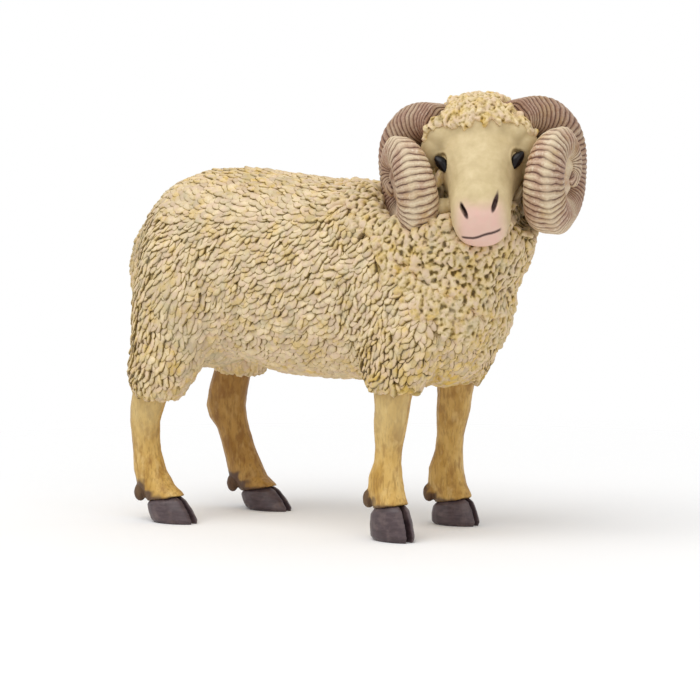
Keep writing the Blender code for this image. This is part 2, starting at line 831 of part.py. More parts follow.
def horn_root_cutter(side):
    """Smooth copy of the root's first stretch, larger by the joint gap."""
    frame = horn_frame(side)
    rings = []
    first = horn_ring(0, 0, joint_gap, horn_sides * 2)
    along_root = (horn_point(0) - horn_point(horn_tangent_share)).normalized()
    rings.append([frame @ (point + along_root * joint_gap) for point in first])
    for k in range(1, horn_root_steps + 1):
        ring = horn_ring(horn_root_share * k / horn_root_steps, 0, joint_gap, horn_sides * 2)
        rings.append([frame @ point for point in ring])
    return loft("root", rings)


def horn_nest_cutter(side):
    """Smooth hollow in the wool round the whole coil."""
    frame = horn_frame(side)
    shells = []
    rings = []
    for k in range(horn_nest_steps + 1):
        ring = horn_ring(horn_nest_share * k / horn_nest_steps, 0, horn_nest_margin, horn_sides * 2)
        rings.append([frame @ point for point in ring])
    shells.append(loft("nest", rings))
    outer = horn_point(1 / 2)
    centre = Vector((-horn_setback, outer.y, -horn_drop))
    radius = horn_coil_radius * horn_core_share
    core = []
    for aside in (-horn_root_width / 2, horn_root_width / 2):
        core.append([frame @ (centre + Vector((a, aside, b))) for a, b in rounded_ring(24, radius, radius, 2)])
    shells.append(loft("core", core))
    nest = join("nest", shells)
    fuse = nest.modifiers.new("Fuse", "REMESH")
    fuse.mode = "VOXEL"
    fuse.voxel_size = fleece_voxel / 2
    lighten = nest.modifiers.new("Lighten", "DECIMATE")
    lighten.ratio = nest_face_share
    return bake(nest)


def ear_rings(side, grow):
    mirror = Matrix.Diagonal(Vector((1, side, 1)))
    root = mirror @ Vector((
        -head_length * ear_back_share,
        head_width * ear_aside_share,
        head_depth * ear_rise_share,
    ))
    out = (mirror @ ear_reach).normalized()
    flat = mirror @ ear_face
    flat = (flat - out * flat.dot(out)).normalized()
    thin = out.cross(flat)
    sag = Vector((0, 0, -1))
    rings = []
    for place, droop, half_width, half_thickness in ear_shares:
        centre = root + out * place * ear_length + sag * droop * ear_length
        centre += out * grow * (2 * place - 1)
        ring = rounded_ring(ear_ring_points, half_width * ear_width + grow, half_thickness * ear_thickness + grow, 2)
        rings.append([head_frame @ (centre + flat * a + thin * b) for a, b in ring])
    return rings


def tail_shell(grow):
    rings = []
    for place, out, half_width, half_thickness in tail_shares:
        centre = Vector((rump_place - out * tail_thickness, 0, tail_root_height - place * tail_length))
        half_a = half_thickness * tail_thickness + grow
        half_b = half_width * tail_width + grow
        ring = rounded_ring(tail_ring_points, half_a, half_b, 2)
        rings.append([centre + Vector((a, b, 0)) for a, b in ring])
    rings[0] = [point + Vector((0, 0, grow)) for point in rings[0]]
    rings[-1] = [point - Vector((0, 0, grow)) for point in rings[-1]]
    return loft("tail", rings)


def tail_peg(grow):
    start = Vector((
        rump_place + tail_thickness * tail_peg_inset_share,
        0,
        tail_root_height - tail_length * tail_peg_drop_share,
    ))
    return peg("peg", start, start + Vector((tail_peg_length + grow, 0, 0)), tail_peg_radius + grow)


def finish(piece, material, figure, sharp_angle=40):
    piece.data.materials.clear()
    piece.data.materials.append(material)
    piece.data.shade_smooth()
    piece.data.set_sharp_from_angle(angle=math.radians(sharp_angle))
    piece.parent = figure
    return piece


def stand_on_origin(figure, pieces):
    """Move the figure so that its box has its bottom centre at the origin."""
    corners = [vertex.co for piece in pieces for vertex in piece.data.vertices]
    low = Vector([min(point[k] for point in corners) for k in range(3)])
    high = Vector([max(point[k] for point in corners) for k in range(3)])
    figure.location = (-(low.x + high.x) / 2, -(low.y + high.y) / 2, -low.z)


def build_figure():
    clear_scene()
    figure = bpy.data.objects.new("figure", None)
    bpy.context.collection.objects.link(figure)
    fleece_paint = paint("fleece_paint", cream_fleece, 0.62)
    neck_paint = paint("neck_paint", cream_fleece, 0.62)
    face_paint = paint("face_paint", cream_face, 0.5)
    horn_paint = paint("horn_paint", horn_tan, 0.55)
    leg_paint = paint("leg_paint", ochre_leg, 0.5)
    hoof_paint = paint("hoof_paint", hoof_brown, 0.38)
    eye_paint = paint("eye_paint", eye_black, 0.15)
    pieces = []

    fleece = fleece_form()
    torso = sculpt(fleece, fleece_voxel, fleece_smoothing_rounds, torso_face_share)
    torso.name = "torso"
    neck = sculpt(fleece_form(), fleece_voxel, fleece_smoothing_rounds, neck_face_share)
    neck.name = "neck"

    legs = []
    for corner in feet:
        leg, collar = leg_piece(corner)
        hoof = hoof_piece(corner, collar)
        pieces.append(finish(leg, leg_paint, figure))
        pieces.append(finish(hoof, hoof_paint, figure))
        legs.append(corner)

    neck_peg_start = neck_seam + seam_normal * neck_peg_length
    neck_peg_end = neck_seam - seam_normal * neck_peg_length
    combine(neck, [seam_block(-1)], "DIFFERENCE")
    combine(neck, [peg("peg", neck_peg_start, neck_peg_end, neck_peg_radius)], "UNION")
    cuts = [head_form(joint_gap), head_peg(joint_gap)]
    for side in (-1, 1):
        cuts.append(horn_nest_cutter(side))
        cuts.append(loft("ear_room", ear_rings(side, joint_gap)))
    combine(neck, cuts, "DIFFERENCE")

    blind_end = neck_peg_end - seam_normal * joint_gap
    cuts = [
        seam_block(1),
        peg("socket", neck_peg_start, blind_end, neck_peg_radius + joint_gap),
        horn_nest_cutter(-1),
        horn_nest_cutter(1),
        tail_shell(joint_gap),
        tail_peg(joint_gap),
    ]
    for corner in legs:
        cuts.append(loft("leg_socket", leg_rings(corner, joint_gap)))
    combine(torso, cuts, "DIFFERENCE")

    tail = tail_shell(0)
    combine(tail, [tail_peg(0)], "UNION")

    head = head_form(0)
    combine(head, [head_peg(0)], "UNION")
    cuts = [mouth_cutter()]
    for side in (-1, 1):
        cuts.append(eye_ball(side, eye_gap))
        cuts.append(nostril_cutter(side))
        cuts.append(horn_root_cutter(side))
        cuts.append(loft("ear_socket", ear_rings(side, joint_gap)))
    combine(head, cuts, "DIFFERENCE")

    pieces.append(finish(torso, fleece_paint, figure, 60))
    pieces.append(finish(neck, neck_paint, figure, 60))
    pieces.append(finish(tail, fleece_paint, figure, 60))
    pieces.append(finish(head, face_paint, figure, 60))
    for side, hand in ((-1, "right"), (1, "left")):
        pieces.append(finish(horn_piece(side, hand + "_horn"), horn_paint, figure, 60))
        ear = loft(hand + "_ear", ear_rings(side, 0))
        pieces.append(finish(ear, face_paint, figure))
        eye = eye_ball(side, 0)
        eye.name = hand + "_eye"
        pieces.append(finish(eye, eye_paint, figure))
    stand_on_origin(figure, pieces)


build_figure()
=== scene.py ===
import math

import bmesh
import bpy
import numpy as np
from mathutils import Matrix, Vector, noise
from mathutils.bvhtree import BVHTree


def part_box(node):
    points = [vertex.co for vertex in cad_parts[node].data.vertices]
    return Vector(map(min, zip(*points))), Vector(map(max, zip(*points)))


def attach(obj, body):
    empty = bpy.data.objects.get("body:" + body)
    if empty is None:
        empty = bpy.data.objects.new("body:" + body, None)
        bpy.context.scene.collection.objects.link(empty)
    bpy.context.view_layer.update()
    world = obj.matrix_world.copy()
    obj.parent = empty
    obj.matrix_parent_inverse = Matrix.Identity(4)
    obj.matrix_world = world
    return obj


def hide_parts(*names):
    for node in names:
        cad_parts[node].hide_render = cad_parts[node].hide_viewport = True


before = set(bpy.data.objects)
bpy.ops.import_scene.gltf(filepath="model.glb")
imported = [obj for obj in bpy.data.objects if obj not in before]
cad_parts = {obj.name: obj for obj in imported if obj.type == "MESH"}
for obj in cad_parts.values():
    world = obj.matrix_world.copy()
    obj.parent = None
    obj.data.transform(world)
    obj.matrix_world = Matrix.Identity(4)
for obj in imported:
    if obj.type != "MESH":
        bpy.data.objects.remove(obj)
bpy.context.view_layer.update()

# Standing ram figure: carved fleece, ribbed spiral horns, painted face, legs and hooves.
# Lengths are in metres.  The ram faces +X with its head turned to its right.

MM = 0.001

# Head, as the solids have it
head_turn = math.radians(-65)
head_tilt = math.radians(3.2)
head_pitch = math.radians(35)
eye_from_head = Vector((0.4, 0, 0.6)) * MM
head_in_solids = Vector((35.3, -5.2, 63.9)) * MM
nostril_centre = Vector((12.15, 2.55, -0.27))
nostril_slope = math.tan(math.radians(8))
mouth_drop = 4.7
mouth_half_width = 3.0
mouth_slope = math.tan(math.radians(13))
eye_slant = math.radians(32)
eye_outlook = math.radians(48)

# Neck seam, as the solids have it
seam_place = Vector((22.5, 0, 48.97)) * MM
seam_lean = math.radians(36)
seam_overlap = 0.35 * MM

# Horn coil
horn_coil_radius = 9.25 * MM
horn_thickness = 7.6 * MM
horn_width = 9.0 * MM
horn_outreach = 12.6 * MM
horn_drop = 1.7 * MM
horn_setback = 6.0 * MM
horn_flare = math.radians(17)
horn_start = math.radians(-11)
horn_sweep = math.radians(583)
horn_side_power = 2.05
horn_radius_shares = (0.95, 1.01, 0.93, 0.82, 0.73, 0.61, 0.46, 0.36, 0.28, 0.21, 0.14)
horn_thickness_shares = (0.80, 0.98, 0.96, 0.92, 0.88, 0.84, 0.74, 0.62, 0.50, 0.38, 0.24)
horn_width_shares = (0.80, 0.98, 0.98, 0.90, 0.80, 0.70, 0.58, 0.46, 0.36, 0.28, 0.20)
horn_outreach_shares = (0.40, 0.72, 0.74, 0.76, 0.84, 0.92, 0.99, 1.03, 1.06, 1.08, 1.09)
horn_rib_pitch = 0.88 * MM
horn_rib_depth = 0.26 * MM
horn_rows = 900
horn_root_reach = 0.06
horn_root_way = Vector((-0.30, -0.80, -0.50)) * 60 * MM
disc_radius = 6.2 * MM
disc_lines = 46
disc_grey = {-1: 0.85, 1: 0.15}
horn_columns = 88
horn_keel_share = 0.12
horn_keel_place = math.radians(24)
horn_keel_spread = math.radians(15)
rib_fullness = 0.52
fine_rib_share = 0.18

# Fleece
corners = ("front_right", "front_left", "rear_right", "rear_left")
skin_voxel = 0.45 * MM
skin_depth = 0.32 * MM
breast_depth = 0.9 * MM
seam_closing = 0.25 * MM
socket_lip = 0.9 * MM
curl_voxel = 0.20 * MM
poll_voxel = 0.15 * MM
tail_voxel = 0.30 * MM
horn_room = 0.70 * MM

# Locks of wool: spacing, length, width, height and roughness in millimetres,
# lift and roll in degrees, and stray in radians
lock_sizes = {
    "flank": (0.98, 2.35, 1.55, 0.58, 0.55, -9, 17, 0.48),
    "beads": (0.94, 2.50, 1.50, 0.76, 0.62, -13, 22, 0.55),
    "curls": (1.08, 2.90, 1.75, 0.86, 0.70, -20, 26, 0.70),
    "tail": (0.72, 1.90, 0.95, 0.60, 0.20, -12, 10, 0.30),
    "poll": (0.80, 2.00, 1.20, 0.95, 0.70, -16, 20, 0.90),
}
smallest_lock_share, largest_lock_share = 0.66, 1.36

# Face, legs and hooves
face_voxel = 0.17 * MM
face_closing = 0.14 * MM
face_horn_room = 0.12 * MM
leg_voxel = 0.20 * MM
hoof_voxel = 0.15 * MM
# Painted shade on the far rear leg, and a browner tint on the far front leg
leg_shade_and_tint = {"rear_left": 0.7, "front_left": 0.15}
# Painted light on the lit side of the upper legs: strong on the near legs, faint on the far ones
near_leg_painted_light, far_leg_painted_light = 0.5, 0.1

# Most triangles that a piece keeps
curl_triangles = 180000
skin_triangles = 90000
head_triangles = 170000
leg_triangles = 50000
hoof_triangles = 40000


def along(table, share):
    """Smooth curve through equally spaced values."""
    spans = len(table) - 1
    place = min(max(share, 0), 1) * spans
    k = min(int(place), spans - 1)
    t = place - k
    before = table[max(k - 1, 0)]
    after = table[min(k + 2, spans)]
    a, b = table[k], table[k + 1]
    rise_a, rise_b = (b - before) / 2, (after - a) / 2
    return (
        (2 * t**3 - 3 * t**2 + 1) * a
        + (t**3 - 2 * t**2 + t) * rise_a
        + (3 * t**2 - 2 * t**3) * b
        + (t**3 - t**2) * rise_b
    )


def ease(low, high, value):
    """0 at low, 1 at high, smooth between; low may be the larger one."""
    t = np.clip((value - low) / (high - low), 0, 1)
    return t * t * (3 - 2 * t)


def hump(value, centre, half_width):
    """1 at the centre, fading to 0 on both sides."""
    return np.exp(-(((value - centre) / half_width) ** 2))


# Places in the frame
head_axes = Matrix.Rotation(head_turn, 4, "Z") @ Matrix.Rotation(head_tilt, 4, "X")
eyes = [(Vector(low) + Vector(high)) / 2 for low, high in (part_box("left_eye"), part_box("right_eye"))]
face_axes = head_axes @ Matrix.Rotation(head_pitch, 4, "Y")
head_place = (eyes[0] + eyes[1]) / 2 - face_axes.to_3x3() @ eye_from_head
shift = head_place - head_in_solids
upright_frame = Matrix.Translation(head_place) @ head_axes
head_frame = Matrix.Translation(head_place) @ face_axes
seam_point = seam_place + shift
seam_normal = Vector((math.sin(seam_lean), 0, math.cos(seam_lean)))


# Mesh helpers

def new_object(name, mesh):
    thing = bpy.data.objects.new(name, mesh)
    bpy.context.collection.objects.link(thing)
    return thing


def mesh_object(name, points, faces):
    mesh = bpy.data.meshes.new(name)
    mesh.from_pydata([tuple(p) for p in points], [], faces)
    mesh.update()
    return new_object(name, mesh)


def from_shell(name, shell):
    mesh = bpy.data.meshes.new(name)
    shell.to_mesh(mesh)
    shell.free()
    return new_object(name, mesh)


def egg(name, axes, centre, sizes):
    """Smooth ellipsoid placed in a frame, in millimetres of that frame."""
    shell = bmesh.new()
    bmesh.ops.create_icosphere(shell, subdivisions=3, radius=MM)
    place = axes @ Matrix.Translation(Vector(centre) * MM) @ Matrix.Diagonal(Vector((*sizes, 1)))
    bmesh.ops.transform(shell, matrix=place, verts=shell.verts)
    return from_shell(name, shell)


def merged_copy(name, *nodes):
    """The solids of some nodes in one mesh, with their loose triangles joined up."""
    shell = bmesh.new()
    for node in nodes:
        shell.from_mesh(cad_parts[node].data)
    bmesh.ops.remove_doubles(shell, verts=shell.verts, dist=0.005 * MM)
    return from_shell(name, shell)


def bake(thing):
    """Keep what the modifiers make, and drop them."""
    graph = bpy.context.evaluated_depsgraph_get()
    mesh = bpy.data.meshes.new_from_object(thing.evaluated_get(graph))
    thing.modifiers.clear()
    thing.data = mesh
    return thing


def drop(*things):
    for thing in things:
        bpy.data.objects.remove(thing, do_unlink=True)


def join(name, *things):
    shell = bmesh.new()
    for thing in things:
        shell.from_mesh(thing.data)
    drop(*things)
    return from_shell(name, shell)


def copy_of(thing):
    return new_object(thing.name + "_copy", thing.data.copy())


def fuse(thing, voxel):
    step = thing.modifiers.new("Fuse", "REMESH")
    step.mode = "VOXEL"
    step.voxel_size = voxel


def swell(thing, strength):
    step = thing.modifiers.new("Swell", "DISPLACE")
    step.mid_level = 0
    step.strength = strength


def soften(thing, rounds):
    step = thing.modifiers.new("Soften", "SMOOTH")
    step.factor = 0.5
    step.iterations = rounds


def remesh(thing, voxel, rounds=0, closing=0.0):
    """Fuse shells into one skin; closing fills gaps up to twice its size."""
    if closing:
        fuse(thing, voxel)
        swell(thing, closing)
    fuse(thing, voxel)
    if closing:
        swell(thing, -closing)
    if rounds:
        soften(thing, rounds)
    return bake(thing)


def smooth_copy(name, node):
    """A node's solid with rounder faces."""
    piece = merged_copy(name, node)
    step = piece.modifiers.new("Finer", "SUBSURF")
    step.levels = step.render_levels = 2
    return bake(piece)


def cut_off(shell, place, normal):
    """Keep what lies ahead of a plane, and close the cut."""
    cut = bmesh.ops.bisect_plane(
        shell,
        geom=shell.verts[:] + shell.edges[:] + shell.faces[:],
        plane_co=place,
        plane_no=normal,
        clear_inner=True,
    )
    edges = [item for item in cut["geom_cut"] if isinstance(item, bmesh.types.BMEdge)]
    bmesh.ops.holes_fill(shell, edges=edges)


def tube_faces(first, rows, columns):
    """Faces between rings of points, numbered ring by ring from the first."""
    faces = []
    for row in range(rows):
        for column in range(columns):
            here = first + row * columns + column
            beside = first + row * columns + (column + 1) % columns
            faces.append((here, beside, beside + columns, here + columns))
    return faces


def thin_out(thing, limit):
    """Fewer faces where the surface is plain, down to about the limit in triangles."""
    count = sum(len(face.vertices) - 2 for face in thing.data.polygons)
    if count > limit:
        fewer = thing.modifiers.new("Fewer", "DECIMATE")
        fewer.ratio = limit / count
        bake(thing)
    return thing


def points_of(thing):
    co = np.empty(len(thing.data.vertices) * 3)
    thing.data.vertices.foreach_get("co", co)
    return co.reshape(-1, 3)


def normals_of(thing):
    no = np.empty(len(thing.data.vertices) * 3)
    thing.data.vertex_normals.foreach_get("vector", no)
    return no.reshape(-1, 3)


def move_points(thing, co):
    thing.data.vertices.foreach_set("co", np.ascontiguousarray(co).ravel())
    thing.data.update()


def keep_values(thing, name, values, kind="FLOAT"):
    layer = thing.data.attributes.new(name, kind, "POINT")
    key = "vector" if kind == "FLOAT_VECTOR" else "value"
    layer.data.foreach_set(key, np.ascontiguousarray(values, dtype=np.float32).ravel())


def tree_of(thing):
    return BVHTree.FromPolygons(
        [vertex.co for vertex in thing.data.vertices],
        [face.vertices for face in thing.data.polygons],
    )


def distance_to(tree, co, reach):
    """Signed distance of each point to a surface; reach where none is near."""
    found = np.full(len(co), reach)
    for k, point in enumerate(co):
        place, normal, _, gap = tree.find_nearest(Vector(point), reach)
        if place is not None:
            behind = (Vector(point) - place).dot(normal) < 0
            found[k] = -gap if behind else gap
    return found


def in_frame(matrix, co):
    """Points as another frame has them."""
    inverse = np.array(matrix.inverted())
    return co @ inverse[:3, :3].T + inverse[:3, 3]


def within(no, flow):
    """The part of each direction that lies in the surface."""
    return flow - no * np.sum(flow * no, axis=1)[:, None]


def wander(co, size, seed):
    """Soft noise between -1 and 1 at points."""
    offset = Vector((seed * 7.3, seed * 3.1, seed * 5.7))
    return np.array([noise.noise(Vector(p) / size + offset) for p in co])


def dress(thing, material):
    thing.data.materials.clear()
    thing.data.materials.append(material)


def settle(piece, slot, *nodes):
    """Hand a finished piece to the frame."""
    piece.data.shade_smooth()
    if nodes:
        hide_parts(*nodes)
    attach(piece, "root")
    return piece


# Geometry node helpers

def port(sockets, name):
    return next(s for s in sockets if s.name == name and s.enabled)


class Tree:
    """A geometry node tree with named inputs."""

    def __init__(self, name, inputs):
        self.group = bpy.data.node_groups.new(name, "GeometryNodeTree")
        face = self.group.interface
        face.new_socket("Geometry", in_out="INPUT", socket_type="NodeSocketGeometry")
        face.new_socket("Geometry", in_out="OUTPUT", socket_type="NodeSocketGeometry")
        self.keys = {}
        for label, kind in inputs:
            socket = face.new_socket(label, in_out="INPUT", socket_type="NodeSocket" + kind)
            self.keys[label] = socket.identifier
        self.start = self.group.nodes.new("NodeGroupInput")
        self.end = self.group.nodes.new("NodeGroupOutput")

    def given(self, label):
        return self.start.outputs[label]

    def add(self, kind, feed=None, **settings):
        node = self.group.nodes.new(kind)
        for key, value in settings.items():
            setattr(node, key, value)
        for key, value in (feed or {}).items():
            goal = node.inputs[key] if isinstance(key, int) else port(node.inputs, key)
            if isinstance(value, bpy.types.NodeSocket):
                self.group.links.new(value, goal)
            else:
                goal.default_value = value
        return node

    def math(self, operation, *values):
        return self.add("ShaderNodeMath", dict(enumerate(values)), operation=operation).outputs[0]

    def value(self, name, kind="FLOAT"):
        node = self.add("GeometryNodeInputNamedAttribute", {"Name": name}, data_type=kind)
        return port(node.outputs, "Attribute")

    def finish(self, geometry):
        """Make instances real, give them the material and end the tree."""
        real = self.add("GeometryNodeRealizeInstances", {"Geometry": geometry})
        dressed = self.add("GeometryNodeSetMaterial", {
            "Geometry": real.outputs[0], "Material": self.given("Material"),
        })
        self.group.links.new(dressed.outputs[0], self.end.inputs[0])
        return self

    def run(self, thing, **values):
        """Apply the tree to a thing and keep the result as a plain mesh."""
        step = thing.modifiers.new(self.group.name, "NODES")
        step.node_group = self.group
        for label, value in values.items():
            step[self.keys[label.replace("_", " ")]] = value
        return bake(thing)


def lock_tree():
    """Scatters locks of wool over a skin, each laid along the flow, its tip and lower side lifted."""
    tree = Tree("Fleece locks", (
        ("Locks", "Collection"), ("Where", "String"), ("Spacing", "Float"), ("Length", "Float"),
        ("Width", "Float"), ("Height", "Float"), ("Lift", "Float"), ("Roll", "Float"), ("Stray", "Float"),
        ("Seed", "Int"), ("Rough", "Float"), ("Material", "Material"),
    ))
    cover = tree.add("GeometryNodeInputNamedAttribute", {"Name": tree.given("Where")}, data_type="FLOAT")
    crowd = tree.math("DIVIDE", 14.0, tree.math("MULTIPLY", tree.given("Spacing"), tree.given("Spacing")))
    scatter = tree.add("GeometryNodeDistributePointsOnFaces", {
        "Mesh": tree.given("Geometry"), "Distance Min": tree.given("Spacing"), "Density Max": crowd,
        "Density Factor": port(cover.outputs, "Attribute"), "Seed": tree.given("Seed"),
    }, distribute_method="POISSON")
    upright = tree.add("FunctionNodeAlignRotationToVector", {"Vector": scatter.outputs["Normal"]}, axis="Z")
    laid = tree.add("FunctionNodeAlignRotationToVector", {
        "Rotation": upright.outputs[0], "Vector": tree.value("flow", "FLOAT_VECTOR"),
    }, axis="X", pivot_axis="Z")
    twist = tree.add("FunctionNodeRandomValue", {
        2: tree.math("MULTIPLY", tree.given("Stray"), -1.0), 3: tree.given("Stray"), 8: tree.given("Seed"),
    }, data_type="FLOAT")
    rock = tree.add("FunctionNodeRandomValue", {2: 0.55, 3: 1.5, 8: 21}, data_type="FLOAT")
    roll = tree.math("MULTIPLY", tree.given("Roll"), tree.value("side"))
    roll = tree.math("MULTIPLY", roll, rock.outputs[1])
    spin = tree.add("FunctionNodeEulerToRotation", {
        0: tree.add("ShaderNodeCombineXYZ", {"Z": twist.outputs[1]}).outputs[0],
    })
    tip = tree.add("FunctionNodeEulerToRotation", {
        0: tree.add("ShaderNodeCombineXYZ", {"X": roll, "Y": tree.given("Lift")}).outputs[0],
    })
    spun = tree.add("FunctionNodeRotateRotation", {
        "Rotation": laid.outputs[0], "Rotate By": spin.outputs[0],
    }, rotation_space="LOCAL")
    tipped = tree.add("FunctionNodeRotateRotation", {
        "Rotation": spun.outputs[0], "Rotate By": tip.outputs[0],
    }, rotation_space="LOCAL")
    sizes = []
    for k, label in enumerate(("Length", "Width", "Height")):
        vary = tree.add("FunctionNodeRandomValue", {
            2: smallest_lock_share, 3: largest_lock_share, 8: k + 11,
        }, data_type="FLOAT")
        sizes.append(tree.math("MULTIPLY", tree.given(label), vary.outputs[1]))
    sizes[0] = tree.math("MULTIPLY", sizes[0], tree.value("stretch"))
    scale = tree.add("ShaderNodeCombineXYZ", {"X": sizes[0], "Y": sizes[1], "Z": sizes[2]})
    shapes = tree.add("GeometryNodeCollectionInfo", {
        "Collection": tree.given("Locks"), "Separate Children": True, "Reset Children": True,
    })
    locks = tree.add("GeometryNodeInstanceOnPoints", {
        "Points": scatter.outputs["Points"], "Instance": shapes.outputs[0], "Pick Instance": True,
        "Rotation": tipped.outputs[0], "Scale": scale.outputs[0],
    })
    shade = tree.add("FunctionNodeRandomValue", {2: 0.0, 3: 1.0, 8: 5}, data_type="FLOAT")
    toned = tree.add("GeometryNodeStoreNamedAttribute", {
        "Geometry": locks.outputs[0], "Name": "tone", "Value": shade.outputs[1],
    }, data_type="FLOAT", domain="INSTANCE")
    real = tree.add("GeometryNodeRealizeInstances", {"Geometry": toned.outputs[0]})
    lumps = tree.add("ShaderNodeTexNoise", {"Scale": 750.0, "Detail": 1.0}, noise_dimensions="3D")
    push = tree.add("ShaderNodeVectorMath", {0: lumps.outputs[1], 1: (0.5, 0.5, 0.5)}, operation="SUBTRACT")
    push = tree.add("ShaderNodeVectorMath", {0: push.outputs[0]}, operation="SCALE")
    tree.group.links.new(tree.given("Rough"), push.inputs["Scale"])
    bent = tree.add("GeometryNodeSetPosition", {"Geometry": real.outputs[0], "Offset": push.outputs[0]})
    return tree.finish(bent.outputs[0])


def rib_tree():
    """Carves ribs across a coil whose points know how far along it they lie."""
    tree = Tree("Horn ribs", (("Pitch", "Float"), ("Depth", "Float"), ("Material", "Material")))
    drift = tree.add("ShaderNodeTexNoise", {"Scale": 190.0, "Detail": 3.0}, noise_dimensions="3D")
    stray = tree.math("MULTIPLY", tree.math("SUBTRACT", drift.outputs[0], 0.5), 1.9)
    phase = tree.math("ADD", tree.math("DIVIDE", tree.value("along"), tree.given("Pitch")), stray)
    wave = tree.math("ABSOLUTE", tree.math("SINE", tree.math("MULTIPLY", phase, math.pi)))
    crest = tree.math("POWER", wave, rib_fullness)
    fine = tree.math("ABSOLUTE", tree.math("SINE", tree.math("MULTIPLY", phase, math.pi * 3)))
    height = tree.math("ADD", crest, tree.math("MULTIPLY", fine, fine_rib_share))
    kept = tree.add("GeometryNodeStoreNamedAttribute", {
        "Geometry": tree.given("Geometry"), "Name": "crest", "Value": height,
    }, data_type="FLOAT", domain="POINT")
    sink = tree.math("MULTIPLY", tree.math("SUBTRACT", tree.value("crest"), 0.9), tree.given("Depth"))
    sink = tree.math("MULTIPLY", sink, tree.value("slim"))
    normal = tree.add("GeometryNodeInputNormal").outputs[0]
    push = tree.add("ShaderNodeVectorMath", {0: normal}, operation="SCALE")
    tree.group.links.new(sink, push.inputs["Scale"])
    moved = tree.add("GeometryNodeSetPosition", {"Geometry": kept.outputs[0], "Offset": push.outputs[0]})
    return tree.finish(moved.outputs[0])


# Paint helpers

class Paint:
    """A Principled material whose colour, roughness and bump come from nodes."""

    def __init__(self, name, roughness=0.6, specular=0.3):
        self.material = bpy.data.materials.new(name)
        self.material.use_nodes = True
        self.nodes = self.material.node_tree.nodes
        self.links = self.material.node_tree.links
        self.shader = self.nodes["Principled BSDF"]
        self.shader.inputs["Roughness"].default_value = roughness
        self.shader.inputs["Specular IOR Level"].default_value = specular
        self.place = self.nodes.new("ShaderNodeTexCoord").outputs["Object"]

    def feed(self, goal, value):
        if isinstance(value, bpy.types.NodeSocket):
            self.links.new(value, goal)
        else:
            goal.default_value = value

    def value(self, name):
        node = self.nodes.new("ShaderNodeAttribute")
        node.attribute_name = name
        return node.outputs["Fac"]

    def math(self, operation, a, b=0.0, clamp=False):
        node = self.nodes.new("ShaderNodeMath")
        node.operation = operation
        node.use_clamp = clamp
        self.feed(node.inputs[0], a)
        self.feed(node.inputs[1], b)
        return node.outputs[0]

    def spread(self, value, low, high, to_low=0.0, to_high=1.0):
        node = self.nodes.new("ShaderNodeMapRange")
        self.feed(node.inputs[0], value)
        for k, number in enumerate((low, high, to_low, to_high)):
            node.inputs[k + 1].default_value = number
        return node.outputs[0]

    def cloud(self, size, detail=3.0, stretch=None, seed=0.0, rough=0.55):
        """Noise whose blots are about size across."""
        node = self.nodes.new("ShaderNodeTexNoise")
        node.inputs["Scale"].default_value = 1 / size
        node.inputs["Detail"].default_value = detail
        node.inputs["Roughness"].default_value = rough
        shift_by = self.nodes.new("ShaderNodeMapping")
        shift_by.inputs["Location"].default_value = (seed * 0.031, seed * 0.017, seed * 0.023)
        if stretch:
            shift_by.inputs["Scale"].default_value = stretch
        self.links.new(self.place, shift_by.inputs["Vector"])
        self.links.new(shift_by.outputs[0], node.inputs["Vector"])
        return node.outputs["Fac"]

    def blots(self, size, detail, seed, low, high, share, stretch=None):
        """Patches that rise from nothing to a share where the noise passes from low to high."""
        return self.spread(self.cloud(size, detail, stretch, seed), low, high, 0, share)

    def ramp(self, value, *stops):
        node = self.nodes.new("ShaderNodeValToRGB")
        steps = node.color_ramp.elements
        while len(steps) < len(stops):
            steps.new(0.5)
        for step, (place, colour) in zip(steps, stops):
            step.position = place
            step.color = (*colour, 1)
        self.feed(node.inputs[0], value)
        return node.outputs[0]

    def mix(self, share, a, b, blend="MIX"):
        node = self.nodes.new("ShaderNodeMix")
        node.data_type = "RGBA"
        node.blend_type = blend
        self.feed(node.inputs[0], share)
        for socket, colour in ((node.inputs[6], a), (node.inputs[7], b)):
            if not isinstance(colour, bpy.types.NodeSocket):
                colour = (*colour, 1)
            self.feed(socket, colour)
        return node.outputs[2]

    def lighten(self, colour, factor):
        node = self.nodes.new("ShaderNodeVectorMath")
        node.operation = "SCALE"
        self.links.new(colour, node.inputs[0])
        self.links.new(factor, node.inputs["Scale"])
        return node.outputs[0]

    def bump(self, height, distance, strength=0.6):
        node = self.nodes.new("ShaderNodeBump")
        node.inputs["Strength"].default_value = strength
        node.inputs["Distance"].default_value = distance
        self.links.new(height, node.inputs["Height"])
        return node.outputs[0]

    def finish(self, colour, roughness=None, normal=None):
        self.links.new(colour, self.shader.inputs["Base Color"])
        if roughness is not None:
            self.links.new(roughness, self.shader.inputs["Roughness"])
        if normal is not None:
            self.links.new(normal, self.shader.inputs["Normal"])
        return self.material


def srgb(r, g, b):
    """Linear colour of a paint named by its 0 to 255 values."""
    return tuple((c / 255 / 12.92) if c <= 10 else ((c / 255 + 0.055) / 1.055) ** 2.4 for c in (r, g, b))


